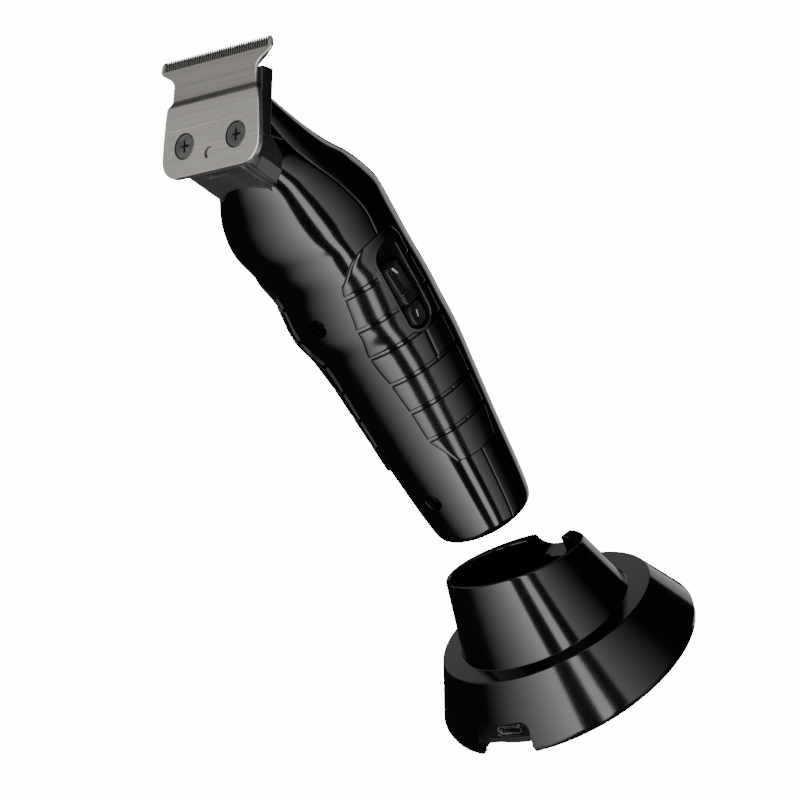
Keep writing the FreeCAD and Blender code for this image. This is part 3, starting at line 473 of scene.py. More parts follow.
class Coating(Enum):
    """The finishes of the clipper and its stand."""

    SHELL = MouldedPlastic("black_gloss_shell", (0.0014, 0.0014, 0.0016), 0.1, 0.0015)
    STAND = MouldedPlastic("black_gloss_stand", (0.0014, 0.0014, 0.0016), 0.12, 0.0015)
    GRIP = MouldedPlastic("black_grip", (0.0016, 0.0016, 0.0018), 0.13, 0.0015, 0.0006)
    BEZEL = MouldedPlastic("black_bezel", (0.003, 0.003, 0.0032), 0.16, 0.0015)
    SLIDER = MouldedPlastic("black_slider", (0.011, 0.011, 0.0115), 0.27, 0.002, 0.002)
    NYLON = MouldedPlastic("black_nylon", (0.007, 0.007, 0.0078), 0.3, 0.002, 0.004)
    BRACKET = MouldedPlastic("black_satin_bracket", (0.022, 0.022, 0.024), 0.26, 0.002, 0.003)
    WHITE_NYLON = MouldedPlastic("white_nylon", (0.62, 0.61, 0.57), 0.42, 0.004, 0.006, 0.0)
    MARK = MouldedPlastic("pale_mark", (0.3, 0.3, 0.3), 0.4, 0.002, 0.003, 0.0)
    BLADE = BrushedSteel("brushed_blade", (0.52, 0.5, 0.465), 0.34)
    UPPER = BrushedSteel("brushed_blade_upper", (0.42, 0.405, 0.375), 0.36)
    BAND = BrushedSteel("ground_band", (0.3, 0.29, 0.27), 0.36, (20.0, 2200.0, 2200.0))
    # The teeth's steel is a third of the blade's colour: painted shade for teeth that slope away from the lights. The
    # grinding lines along them are real.
    TEETH = BrushedSteel("ground_teeth_painted_shade", (0.17, 0.165, 0.155), 0.4, (1600.0, 40.0, 1600.0))
    CUTTER = BrushedSteel("cutter_grind", (0.09, 0.088, 0.085), 0.36, (1600.0, 40.0, 1600.0))
    SPRING_STEEL = BrushedSteel("spring_steel", (0.55, 0.55, 0.54), 0.28, (60.0, 2000.0, 2000.0))
    SCREW = TurnedMetal("grey_screw", (0.16, 0.16, 0.155), 0.38)
    BLACK_SCREW = TurnedMetal("black_oxide_screw", (0.035, 0.035, 0.036), 0.4)
    BRIGHT = TurnedMetal("plated_steel", (0.62, 0.62, 0.6), 0.22)
    BALLAST = TurnedMetal("ballast_steel", (0.3, 0.29, 0.28), 0.5, 0.02)
    GOLD = TurnedMetal("gold_plate", (0.83, 0.58, 0.22), 0.22)
    BRONZE = TurnedMetal("sintered_bronze", (0.5, 0.31, 0.15), 0.42, 0.02)
    COPPER = BrushedSteel("rotor_laminations", (0.62, 0.36, 0.24), 0.4, (2200.0, 2200.0, 40.0), 0.0)
    RUBBER = SoftRubber("base_rubber")
    BOARD = PrintedBoard("green_board")
    WRAP = CellWrap("cell_wrap")

    @property
    def material(self) -> bpy.types.Material:
        """The finish's material."""
        return self.value.material()


# ---------------------------------------------------------------- meshes

class Skin:
    """Vertices and faces of one solid, in millimetres."""

    def __init__(self) -> None:
        """Start with nothing."""
        self.points: list[Point] = []
        self.faces: list[tuple[int, ...]] = []
        self.marks: list[int] = []

    def row(self, points: Iterable[Sequence[float]]) -> list[int]:
        """Add a row of points and return their numbers."""
        first = len(self.points)
        self.points.extend(tuple(p) for p in points)
        return list(range(first, len(self.points)))

    def face(self, corners: Sequence[int], mark: int = 0) -> None:
        """Add a face with a material number."""
        if len(set(corners)) > 2:
            self.faces.append(tuple(corners))
            self.marks.append(mark)

    def bridge(self, first: Sequence[int], second: Sequence[int], closed: bool = False, mark: int = 0) -> None:
        """Join two rows of the same length with quads."""
        last = len(first) if closed else len(first) - 1
        for n in range(last):
            m = (n + 1) % len(first)
            self.face((first[n], first[m], second[m], second[n]), mark)

    def fan(self, ring: Sequence[int], mark: int = 0) -> None:
        """Close a ring with triangles about its middle."""
        middle = [sum(self.points[n][axis] for n in ring) / len(ring) for axis in range(3)]
        centre = self.row([middle])[0]
        for n, here in enumerate(ring):
            self.face((here, ring[(n + 1) % len(ring)], centre), mark)

    def tube(self, rings: Sequence[Sequence[Sequence[float]]], marks: Sequence[int] | None = None) -> "Skin":
        """Join closed rings one after another and close both ends.

        Args:
            rings: The rings' points, all with the same count.
            marks: Material number of each band between rings.

        Returns:
            The skin itself.
        """
        rows = [self.row(ring) for ring in rings]
        for n, (a, b) in enumerate(zip(rows, rows[1:])):
            self.bridge(a, b, True, marks[n] if marks else 0)
        self.fan(rows[0], marks[0] if marks else 0)
        self.fan(rows[-1], marks[-1] if marks else 0)
        return self

    def wall(self, outer: Sequence[Sequence[Sequence[float]]], inner: Sequence[Sequence[Sequence[float]]]) -> "Skin":
        """A wall between two open sheets of the same size, closed along its four edges."""
        outs, ins = [self.row(r) for r in outer], [self.row(r) for r in inner]
        for sheet in (outs, ins):
            for a, b in zip(sheet, sheet[1:]):
                self.bridge(a, b)
        for a, b in ((outs[0], ins[0]), (outs[-1], ins[-1]), ([r[0] for r in outs], [r[0] for r in ins]),
                     ([r[-1] for r in outs], [r[-1] for r in ins])):
            self.bridge(a, b)
        return self

    def piece(self, name: str, *coatings: Coating, lift: float = 0.0, angle: float = 32.0,
              tipped: bool = False) -> bpy.types.Object:
        """Make the object.

        Args:
            name: The piece's name.
            *coatings: Finishes by material number.
            lift: Height to add.
            angle: Edges sharper than this in degrees stay sharp.
            tipped: Whether the points are in the blade's plane.

        Returns:
            The object at the origin with its place in its mesh.
        """
        mesh = bpy.data.meshes.new(name)
        place = HEAD_PLACE if tipped else Matrix.Translation((0.0, 0.0, lift))
        mesh.from_pydata([(place @ Vector(p)) * MM for p in self.points], [], self.faces)
        for coating in coatings:
            mesh.materials.append(coating.material)
        for polygon, mark in zip(mesh.polygons, self.marks):
            polygon.material_index = mark
        work = bmesh.new()
        work.from_mesh(mesh)
        bmesh.ops.remove_doubles(work, verts=work.verts, dist=2e-7)
        bmesh.ops.dissolve_degenerate(work, edges=work.edges, dist=1e-7)
        bmesh.ops.recalc_face_normals(work, faces=work.faces)
        work.to_mesh(mesh)
        work.free()
        made = bpy.data.objects.new(name, mesh)
        bpy.context.scene.collection.objects.link(made)
        return smooth(made, angle)


def smooth(piece: bpy.types.Object, angle: float = 32.0) -> bpy.types.Object:
    """Shade a piece smoothly except at sharp edges."""
    piece.data.shade_smooth()
    piece.data.set_sharp_from_angle(angle=math.radians(angle))
    return piece


def settle(piece: bpy.types.Object, angle: float = 32.0) -> bpy.types.Object:
    """Turn a piece's modifiers into plain mesh."""
    graph = bpy.context.evaluated_depsgraph_get()
    mesh = bpy.data.meshes.new_from_object(piece.evaluated_get(graph), depsgraph=graph)
    piece.modifiers.clear()
    old, piece.data = piece.data, mesh
    mesh.name = piece.name
    if old.users == 0:
        bpy.data.meshes.remove(old)
    return smooth(piece, angle)


def drop(*pieces: bpy.types.Object) -> None:
    """Throw away helper objects."""
    for piece in pieces:
        mesh = piece.data
        bpy.data.objects.remove(piece)
        if mesh.users == 0:
            bpy.data.meshes.remove(mesh)


def carve(piece: bpy.types.Object, *tools: bpy.types.Object, angle: float = 32.0) -> bpy.types.Object:
    """Cut tools out of a piece and throw the tools away."""
    for tool in tools:
        modifier = piece.modifiers.new("cut", "BOOLEAN")
        modifier.object, modifier.operation, modifier.solver = tool, "DIFFERENCE", "EXACT"
    settle(piece, angle)
    drop(*tools)
    return piece


def soften(piece: bpy.types.Object, width: float, segments: int = 2, limit: float = 38.0) -> bpy.types.Object:
    """Round a piece's sharp edges.

    Args:
        piece: The piece.
        width: Width of the rounding in millimetres.
        segments: Steps across it.
        limit: Least angle in degrees that is rounded.

    Returns:
        The piece.
    """
    modifier = piece.modifiers.new("soften", "BEVEL")
    modifier.width, modifier.segments = width * MM, segments
    modifier.limit_method, modifier.angle_limit = "ANGLE", math.radians(limit)
    modifier.use_clamp_overlap = True
    return settle(piece)


def rides(piece: bpy.types.Object, body: str, slot: str, *nodes: str) -> bpy.types.Object:
    """Tie a piece to its body, hide the CAD nodes that it stands for and log its face count."""
    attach(piece, body)
    if nodes:
        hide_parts(*nodes)
    LOG.info("%-24s %6d faces on %s", piece.name, len(piece.data.polygons), body)
    return piece


# The blade's own plane: x across, y from its heel towards the teeth, z out of its front face.
TILT = math.radians(44.0)
HEEL = Vector((0.0, -26.6, 137.4 + REST))
HEAD_PLACE = Matrix.Translation(HEEL) @ Matrix.Rotation(TILT, 4, "X")


# ---------------------------------------------------------------- repeating patterns

class Pattern:
    """A Geometry Nodes tree with named inputs that ends in realised, dressed geometry."""

    def __init__(self, name: str, inputs: dict[str, str]) -> None:
        """Start a tree.

        Args:
            name: The tree's name.
            inputs: Socket type of each named input.
        """
        self.tree = bpy.data.node_groups.new(name, "GeometryNodeTree")
        face = self.tree.interface
        face.new_socket("Geometry", in_out="INPUT", socket_type="NodeSocketGeometry")
        self.names = {label: face.new_socket(label, in_out="INPUT", socket_type=kind).identifier
                      for label, kind in {**inputs, "Finish": "NodeSocketMaterial"}.items()}
        face.new_socket("Geometry", in_out="OUTPUT", socket_type="NodeSocketGeometry")
        self.given = self.tree.nodes.new("NodeGroupInput")

    def node(self, kind: str, settings: dict | None = None, **sockets: object) -> bpy.types.Node:
        """Add a node, with values or output sockets by input name, _ for a space."""
        made = self.tree.nodes.new(kind)
        for name, value in (settings or {}).items():
            setattr(made, name, value)
        for name, value in sockets.items():
            socket = next(s for s in made.inputs if s.name == name.replace("_", " ") and s.enabled)
            if isinstance(value, bpy.types.NodeSocket):
                self.tree.links.new(value, socket)
            else:
                socket.default_value = value
        return made

    def end(self, geometry: bpy.types.NodeSocket) -> "Pattern":
        """Realise, dress and send out the geometry."""
        real = self.node("GeometryNodeRealizeInstances", Geometry=geometry)
        dressed = self.node("GeometryNodeSetMaterial", Geometry=real.outputs[0], Material=self.given.outputs["Finish"])
        self.node("NodeGroupOutput", Geometry=dressed.outputs[0])
        return self

    def copies(self, points: bpy.types.NodeSocket, **sockets: object) -> bpy.types.NodeSocket:
        """The given solid set on points."""
        solid = self.node("GeometryNodeObjectInfo", Object=self.given.outputs["Solid"])
        made = self.node("GeometryNodeInstanceOnPoints", Points=points, Instance=solid.outputs["Geometry"], **sockets)
        return made.outputs[0]

    def make(self, name: str, coating: Coating, start: bpy.types.Mesh | None = None,
             **values: object) -> bpy.types.Object:
        """Run the tree once and throw away the solid that it copied.

        Args:
            name: The piece's name.
            coating: Its finish.
            start: Points that the tree works on.
            **values: Input values by name, with _ for a space.

        Returns:
            The result as a plain mesh object.
        """
        piece = bpy.data.objects.new(name, start or bpy.data.meshes.new(name))
        bpy.context.scene.collection.objects.link(piece)
        modifier = piece.modifiers.new("pattern", "NODES")
        modifier.node_group = self.tree
        for label, value in {**values, "Finish": coating.material}.items():
            modifier[self.names[label.replace("_", " ")]] = value
        settle(piece)
        if "Solid" in values:
            drop(values["Solid"])
        return piece


def row_pattern() -> Pattern:
    """A tree that sets copies of a solid in a straight row."""
    pattern = Pattern("row", {"Solid": "NodeSocketObject", "Count": "NodeSocketInt", "Start": "NodeSocketVector",
                              "Step": "NodeSocketVector"})
    given = pattern.given.outputs
    line = pattern.node("GeometryNodeMeshLine", {"mode": "OFFSET"}, Count=given["Count"],
                        Start_Location=given["Start"], Offset=given["Step"])
    return pattern.end(pattern.copies(line.outputs[0]))


def ring_pattern() -> Pattern:
    """A tree that sets copies of a solid around an upright axis."""
    pattern = Pattern("ring", {"Solid": "NodeSocketObject", "Count": "NodeSocketInt", "Radius": "NodeSocketFloat",
                               "Centre": "NodeSocketVector"})
    given = pattern.given.outputs
    ring = pattern.node("GeometryNodeMeshCircle", Vertices=given["Count"], Radius=given["Radius"])
    where = pattern.node("GeometryNodeInputPosition")
    facing = pattern.node("FunctionNodeAlignRotationToVector", {"axis": "X", "pivot_axis": "Z"},
                          Vector=where.outputs[0])
    copies = pattern.copies(ring.outputs[0], Rotation=facing.outputs[0])
    placed = pattern.node("GeometryNodeTransform", Geometry=copies, Translation=given["Centre"])
    return pattern.end(placed.outputs[0])


def spot_pattern() -> Pattern:
    """A tree that sets a solid on each given point, facing along the point's own direction."""
    pattern = Pattern("spots", {"Solid": "NodeSocketObject"})
    way = pattern.node("GeometryNodeInputNamedAttribute", {"data_type": "FLOAT_VECTOR"}, Name="facing")
    turn = pattern.node("FunctionNodeAlignRotationToVector", {"axis": "Z"}, Vector=way.outputs[0])
    return pattern.end(pattern.copies(pattern.given.outputs["Geometry"], Rotation=turn.outputs[0]))


def coil_pattern() -> Pattern:
    """A tree that winds round wire into an upright spring."""
    pattern = Pattern("coil", {"Turns": "NodeSocketFloat", "Radius": "NodeSocketFloat", "Height": "NodeSocketFloat",
                               "Wire": "NodeSocketFloat", "Centre": "NodeSocketVector"})
    given = pattern.given.outputs
    path = pattern.node("GeometryNodeCurveSpiral", Resolution=28, Rotations=given["Turns"],
                        Start_Radius=given["Radius"], End_Radius=given["Radius"], Height=given["Height"])
    wire = pattern.node("GeometryNodeCurvePrimitiveCircle", Resolution=10, Radius=given["Wire"])
    body = pattern.node("GeometryNodeCurveToMesh", Curve=path.outputs[0], Profile_Curve=wire.outputs[0],
                        Fill_Caps=True)
    placed = pattern.node("GeometryNodeTransform", Geometry=body.outputs[0], Translation=given["Centre"])
    return pattern.end(placed.outputs[0])


def spots(name: str, places: Sequence[tuple[Point, Point]]) -> bpy.types.Mesh:
    """Points in millimetres with the direction that each one faces."""
    mesh = bpy.data.meshes.new(name)
    mesh.from_pydata([Vector(p) * MM for p, _ in places], [], [])
    layer = mesh.attributes.new("facing", "FLOAT_VECTOR", "POINT")
    for n, (_, way) in enumerate(places):
        layer.data[n].vector = way
    return mesh


# ---------------------------------------------------------------- charging stand

@dataclass
class ChargingStand:
    """The weighted stand: bevelled skirt, sloping ledge, tower, well and charging inlet."""

    edge_radius: float = 41.2
    edge_up: float = 2.5
    bevel: float = 0.45
    skirt_slope: float = 0.49
    ledge_up: float = 18.6
    ledge_tilt: float = 3.8
    tower_radius: float = 27.3
    tower_foot: float = 16.0
    tower_slope: float = 0.27
    rim_up: float = 40.2
    rim_tilt: float = 15.5
    floor_up: float = 10.7
    gap: float = 1.0
    columns: int = 216
    screw_ring: float = 29.0
    inlet_up: float = 5.4
    pin_places: Flat = (-4.0, 4.0)
    @staticmethod
    def meet(up: float, tilt: float, radius: float, slope: float, foot: float) -> Flat:
        """Where a tilted plane cuts a sloping wall.

        Args:
            up: The plane's height on the axis.
            tilt: Its fall for each millimetre outwards.
            radius: The wall's radius at its foot.
            slope: How much the wall draws in for each millimetre of height.
            foot: Height of the wall's foot.

        Returns:
            Radius and height.
        """
        at = (up - tilt * (radius + slope * foot)) / (1 - slope * tilt)
        return radius - slope * (at - foot), at

    def profile(self, angle: float) -> list[Flat]:
        """The stand's section at one angle.

        Args:
            angle: 0 at +X, a quarter turn at +Y.

        Returns:
            Radius and height from the foot over the rim to the well's floor.
        """
        ledge, rim = (math.tan(math.radians(t)) * math.sin(angle) for t in (self.ledge_tilt, self.rim_tilt))
        tower = self.tower_radius, self.tower_slope, self.tower_foot
        top = self.meet(self.ledge_up, ledge, self.edge_radius, self.skirt_slope, self.edge_up)
        root = self.meet(self.ledge_up, ledge, *tower)
        crown = self.meet(self.rim_up, rim, *tower)
        mouth = self.well_radius(angle, crown[1] - 1.0)
        base = self.well_radius(angle, self.floor_up)
        corners = [(38.5, 0.4, 0.0), (self.edge_radius - self.bevel, 0.4, 0.3), (self.edge_radius, self.edge_up, 0.45),
                   (*top, 0.7), (*root, 0.55), (*crown, 0.6), (mouth, self.rim_up - rim * mouth, 0.5)]
        wall = [(self.well_radius(angle, up), up, turn) for up, turn in ((24.0, 6.0), (13.7, 1.0), (11.7, 0.4))]
        return rounded([*corners, *wall, (base, self.floor_up, 0.3), (base * 0.62, self.floor_up, 0.0)])

    def well_radius(self, angle: float, up: float) -> float:
        """How far the well's wall stands from the axis at an angle and height."""
        wide, deep = (side(up - self.floor_up) + self.gap for side in (BODY.wide, BODY.deep))
        return wide * deep / math.hypot(deep * math.cos(angle), wide * math.sin(angle))

    def shell(self) -> None:
        """The one-piece moulding, with its finger notch, plug bay, inlet slot and pin holes."""
        turns = [math.tau * n / self.columns for n in range(self.columns)]
        levels = zip(*(self.profile(turn) for turn in turns))
        rings = [[(r * math.cos(a), r * math.sin(a), up) for a, (r, up) in zip(turns, level)] for level in levels]
        hollow = ((0.45, 8.4), (0.88, 8.4), (0.88, 2.9), (0.9985, 2.9))
        under = [[(x * k, y * k, up) for x, y, _ in rings[0]] for k, up in hollow]
        middle = [(0.3 * x, 0.3 * y, up) for x, y, up in rings[-1]]
        piece = Skin().tube([*under, *rings, middle]).piece("stand_shell_skin", Coating.STAND)
        holes = [slab("y", self.notch_outline(), 6.0, 40.0), slab("y", self.bay_outline(), -35.0, -60.0),
                 slab("y", self.lying(1.66, 4.5, 0.0, 10), -26.0, -36.0),
                 *(turned(((1.2, 6.0), (1.2, 13.0)), 24, x) for x in self.pin_places)]
        carve(piece, *(Skin().tube(hole).piece("tool", Coating.STAND) for hole in holes))
        rides(soften(piece, 0.28, 2, 42.0), "stand", "gloss_black_shell", "stand_shell")

    def notch_outline(self) -> list[Flat]:
        """The U of the finger notch as x and height."""
        low, wide, turn = 28.5, 6.5, 4.0
        side = [(wide + 1.1, 46.0), (wide + 0.2, 36.5), *arc(wide - turn, low + turn, turn, 0.0, -0.5, 9)]
        return side + [(-x, up) for x, up in reversed(side)]

    def bay_outline(self) -> list[Flat]:
        """The arch of the plug bay as x and height."""
        wide, top, turn = 9.8, 9.5, 3.0
        side = [(wide, -1.0), *arc(wide - turn, top - turn, turn, 0.0, 0.5, 7)]
        return side + [(-x, up) for x, up in reversed(side)]

    def lying(self, half_high: float, half_long: float, inset: float, count: int) -> list[Flat]:
        """A slot on its side at the inlet, as x and height."""
        return [(x, up + self.inlet_up) for up, x in racetrack(half_high, -half_long, half_long, inset, count)]

    def inlet(self) -> None:
        """The inlet's rolled steel shell, its raised collar and the contact tongue."""
        lips = ((-27.6, 0.05), (-34.9, 0.05), (-35.15, 0.15), (-35.15, 0.32), (-34.9, 0.42), (-28.4, 0.42))
        shell = Skin().tube(layers("y", lambda inset: self.lying(1.6, 4.45, inset, 12), lips))
        rides(shell.piece("inlet_shell", Coating.BRIGHT), "stand", "bright_steel", "usb_socket")
        lips = ((-34.8, 0.0), (-35.35, 0.0), (-35.5, 0.15), (-35.5, 0.5), (-35.35, 0.65), (-34.8, 0.65))
        collar = Skin()
        rows = [collar.row(ring) for ring in layers("y", lambda inset: self.lying(2.5, 5.6, inset, 14), lips)]
        for a, b in zip(rows, [*rows[1:], rows[0]]):
            collar.bridge(a, b, True)
        rides(collar.piece("inlet_collar", Coating.STAND), "stand", "gloss_black_shell")
        tongue = Skin().tube(layers("y", lambda inset: round_box(3.0 - inset, 0.0, 0.6, 0.2, inset * 0.3),
                                    ((-28.4, 0.0), (-33.9, 0.0), (-34.2, 0.4)), (0.0, 5.1)))
        rides(tongue.piece("inlet_tongue", Coating.NYLON), "stand", "black_nylon", "usb_tongue")
        pad = Skin().tube(slab("z", round_box(0.14, -33.6, -29.5, 0.05, 0.0, 2), 5.68, 5.72))
        row = PATTERNS["row"].make("inlet_contacts", Coating.GOLD, Solid=pad.piece("contact_pad", Coating.GOLD),
                                   Count=8, Start=(-2.1 * MM, 0.0, 0.0), Step=(0.6 * MM, 0.0, 0.0))
        rides(row, "stand", "gold_contact")

    def foot(self) -> None:
        """The ribbed rubber pad, and the four screws behind it."""
        section = ((8.0, 0.0), (8.3, 0.25), (9.7, 0.25), (10.0, 0.0), (20.0, 0.0), (20.3, 0.25), (21.7, 0.25),
                   (22.0, 0.0), (34.4, 0.0), (35.0, 0.6), (35.0, 1.0))
        pad = Skin().tube(turned(section, 96)).piece("base_pad", Coating.RUBBER)
        rides(pad, "stand", "base_rubber", "rubber_base_pad")
        reach = self.screw_ring / math.sqrt(2)
        places = [((x * reach, y * reach, 1.02), (0.0, 0.0, -1.0)) for x, y in ((1, 1), (-1, 1), (-1, -1), (1, -1))]
        screw_set("stand_screw_set", Coating.BLACK_SCREW, cross_screw(2.8, 1.3, 1.35, 8.9), places, "stand",
                  "stand_screws")

    def pins(self) -> None:
        """The two sprung contact pins."""
        section = ((0.55, 5.0), (0.6, 5.05), (0.6, 6.4), (1.4, 6.4), (1.5, 6.5), (1.5, 7.3), (1.4, 7.4), (0.9, 7.4),
                   (0.9, 10.2), (0.82, 10.5), (0.6, 10.72), (0.3, 10.8))
        for x, word in zip(self.pin_places, ("left", "right")):
            pin = Skin().tube(turned(section, 32, x)).piece(f"charging_pin_{word}", Coating.GOLD)
            rides(pin, f"contact_pin_{word}", "gold_contact", f"contact_pin_{word}")
            spring = PATTERNS["coil"].make(f"pin_coil_{word}", Coating.BRIGHT, Turns=4.0, Radius=1.25 * MM,
                                           Height=1.6 * MM, Wire=0.14 * MM, Centre=(x * MM, 0.0, 3.4 * MM))
            rides(spring, "stand", "bright_steel", f"pin_spring_{word}")

    def build(self) -> None:
        """Make every piece of the stand."""
        self.shell()
        self.inlet()
        self.foot()
        self.pins()


def cross_screw(head: float, dome: float, shank: float, long: float, flat: bool = True) -> bpy.types.Object:
    """A cross-head screw standing on -Z, with its head's rim at height 0.

    Args:
        head: Radius of the head.
        dome: Depth of a countersunk head, or height of a raised one.
        shank: Radius of the shank.
        long: Length under the head.
        flat: Whether the head is countersunk.

    Returns:
        A helper object for a pattern.
    """
    if flat:
        top = 0.02
        crown = [(shank, -dome - 0.05), (head, -0.18), (head, -0.06), (head - 0.08, 0.0), (head * 0.6, top)]
    else:
        top = dome
        crown = [(shank, 0.0), (head, 0.0), (head, dome * 0.55), (head * 0.93, dome * 0.8),
                 (head * 0.75, dome * 0.95), (head * 0.4, top)]
    section = [(shank * 0.5, -long), (shank, -long + 0.8), *crown]
    screw = Skin().tube(turned(section, 40)).piece("screw_solid", Coating.SCREW)
    reach, thin = head * 0.52, head * 0.11
    bar = [(-reach, -thin), (reach, -thin), (reach, thin), (-reach, thin)]
    levels = ((top - head * 0.38, 0.62), (top + 0.4, 1.08))
    tools = []
    for turn in (0.0, math.pi / 2):
        across, along = math.cos(turn), math.sin(turn)
        spun = [(x * across - y * along, x * along + y * across) for x, y in bar]
        cross = layers("z", lambda k: [(x * k, y * k) for x, y in spun], levels)
        tools.append(Skin().tube(cross).piece("cross", Coating.SCREW))
    return carve(screw, *tools)


def screw_set(name: str, coating: Coating, screw: bpy.types.Object, places: Sequence[tuple[Point, Point]],
              body: str, node: str) -> None:
    """Set a screw on each place and tie the set to its body and CAD node."""
    rides(PATTERNS["spots"].make(name, coating, spots(name, places), Solid=screw), body, "dark_screw_steel", node)


# ---------------------------------------------------------------- clipper body

SHARED = [(0.0, 14.0, 13.2, 0.0), (1.0, 15.0, 14.1, 0.0), (3.0, 15.6, 14.7, 0.0), (24.0, 17.8, 16.4, 0.0),
          (42.0, 19.2, 17.6, 0.5), (57.0, 20.4, 18.6, 0.9), (68.0, 21.2, 19.3, 0.2), (77.0, 22.0, 20.4, -0.9),
          (88.0, 21.8, 19.6, -0.5), (98.0, 22.6, 20.8, -1.8), (107.0, 23.3, 21.8, -3.0)]
BODY = Loft([*SHARED, (115.0, 21.8, 20.8, -3.6), (122.0, 18.6, 18.4, -3.6), (126.0, 16.0, 16.3, -4.6),
             (129.5, 13.2, 13.8, -5.6), (132.0, 10.4, 11.2, -6.4), (134.0, 6.8, 7.6, -7.2), (135.0, 3.0, 3.4, -7.6)])
BACK = Loft([*SHARED, (112.6, 22.3, 20.4, -3.4), (117.6, 20.7, 18.3, -3.7), (123.6, 17.8, 15.2, -4.4),
             (131.6, 14.8, 11.7, -5.0), (141.8, 11.2, 8.2, -5.3), (147.0, 9.2, 6.6, -5.4)])
SEAM = Curve([0.0, 102.0, 115.0, 125.0, 132.0, 139.0, 143.0, 147.0], [-5.0, -5.0, -6.6, -8.0, -9.0, -8.6, -7.4, -5.6])
WINDOW_Y, WINDOW_HALF, WINDOW_LOW, WINDOW_HIGH = -4.9, 4.3, 67.6, 95.4


@dataclass
class ClipperBody:
    """The two housing halves with what shows on them."""

    wall: float = 1.9
    floor_thick: float = 1.6
    mouth: float = 9.15
    seam_gap: float = 0.07
    lip: float = 0.4
    columns: int = 88
    screw_spots: tuple[Flat, ...] = ((81.1, -20.8), (16.6, -16.0))

    def heights(self, top: float, step: float) -> list[float]:
        """Heights of the rows, close together where the form turns."""
        ups = [0.0, 0.25, 0.6, 1.0, 1.6, 2.3, 3.0, 4.5]
        while ups[-1] < top - step:
            at = ups[-1]
            ups.append(at + (step if 74 < at < 82 or at > 97 else step * 1.9))
        return [*ups, top]

    def relief(self, angle: float, up: float) -> float:
        """Creases above and below the belly on the front."""
        front = blend(0.55, 0.95, -math.sin(angle))
        upper = bump(101.4 - 3.0 * math.cos(angle) ** 2, 4.0, up)
        lower = bump(77.6 + 2.0 * math.cos(angle) ** 2, 3.0, up)
        return -front * (0.36 * upper + 0.17 * lower)

    def half(self, loft: Loft, start: Callable[[float], float], end: Callable[[float], float], top: float,
             step: float, relief: bool) -> bpy.types.Object:
        """One housing half between two angles.

        Args:
            loft: Its outer form.
            start: Angle of one edge at a height.
            end: Angle of the other edge.
            top: Its highest height.
            step: Distance between rows.
            relief: Whether it has the belly's creases.

        Returns:
            The half, not yet tied to a body.
        """
        outer, inner = [], []
        ups = self.heights(top, step)
        for up in ups:
            first, last = start(up), end(up)
            radius = (loft.wide(up) + loft.deep(up)) / 2
            shares = self.shares(radius * (last - first))
            angles = [first + (last - first) * share for share, _ in shares]
            outs = [-lip + (self.relief(a, up) if relief else 0.0) for a, (_, lip) in zip(angles, shares)]
            foot = 0.55 * (1 - min(1.0, up / 0.9)) ** 2
            outer.append([loft.point(a, up, out - foot) for a, out in zip(angles, outs)])
            thick = min(self.wall, 0.6 * min(loft.wide(up), loft.deep(up)))
            inner.append([loft.point(a, max(up, self.floor_thick), -thick) for a in angles])
        closing = []
        for x, y, _ in outer[0]:
            length = math.hypot(x, y)
            closing.append((self.mouth * x / length, self.mouth * y / length, 0.0))
        halfway = [(0.5 * (a[0] + b[0]), 0.5 * (a[1] + b[1]), 0.0) for a, b in zip(closing, outer[0])]
        outer = [closing, halfway, *outer]
        inner = [[(x, y, self.floor_thick) for x, y, _ in closing], inner[0], *inner]
        name = "front_half" if relief else "rear_half"
        return Skin().wall(outer, inner).piece(name, Coating.SHELL, lift=REST)

    def shares(self, run: float) -> list[Flat]:
        """Where the columns stand along a row, with how far the lip is rolled in there."""
        edge = [(0.0, self.lip), (0.08, 0.17), (0.2, 0.05), (0.38, 0.0), (0.8, 0.0)]
        left = [(self.seam_gap / run + at / run, lip) for at, lip in edge]
        middle = [(left[-1][0] + (1 - 2 * left[-1][0]) * n / self.columns, 0.0) for n in range(1, self.columns)]
        return [*left, *middle, *[(1 - share, lip) for share, lip in reversed(left)]]

    def front(self) -> None:
        """The belly half: creased, domed at the top, with two screw recesses."""
        piece = self.half(BODY, lambda up: -math.pi - BODY.angle(SEAM(up), up), lambda up: BODY.angle(SEAM(up), up),
                          134.6, 1.05, True)
        carve(piece, *(self.recess(up, front) for up, front in self.screw_spots), self.window())
        rides(soften(piece, 0.22, 2, 50.0), "clipper", "gloss_black_shell", "front_housing")

    def recess(self, up: float, front: float) -> bpy.types.Object:
        """A round tool for a screw recess in the belly, whose surface is at y front."""
        levels = ((-28.0, 2.75), (front + 0.2, 2.75), (front + 0.7, 2.45), (front + 3.7, 2.4))
        rings = layers("y", lambda radius: circle(radius, 40), levels, (0.0, up))
        return Skin().tube(rings).piece("recess", Coating.SHELL, lift=REST)

    def window(self, grow: float = 0.0) -> bpy.types.Object:
        """A tool for the switch window."""
        outline = racetrack(WINDOW_HALF, WINDOW_LOW, WINDOW_HIGH, -grow)
        return Skin().tube(slab("x", outline, 12.0, 30.0, (WINDOW_Y, 0.0))).piece("window", Coating.SHELL, lift=REST)

    def rear(self) -> None:
        """The back half, which rises into the hood behind the blade."""
        piece = self.half(BACK, lambda up: BACK.angle(SEAM(up), up), lambda up: math.pi - BACK.angle(SEAM(up), up),
                          147.0, 1.4, False)
        carve(piece, self.window())
        rides(soften(piece, 0.3, 2, 50.0), "clipper", "gloss_black_shell", "rear_housing")

    def screws(self) -> None:
        """The two case screws at the bottom of their recesses."""
        places = [((0.0, front + 3.8, up + REST), (0.0, -1.0, 0.0)) for up, front in self.screw_spots]
        screw_set("case_screw_set", Coating.BLACK_SCREW, cross_screw(2.2, 1.6, 1.2, 14.0, False), places, "clipper",
                  "case_screws")

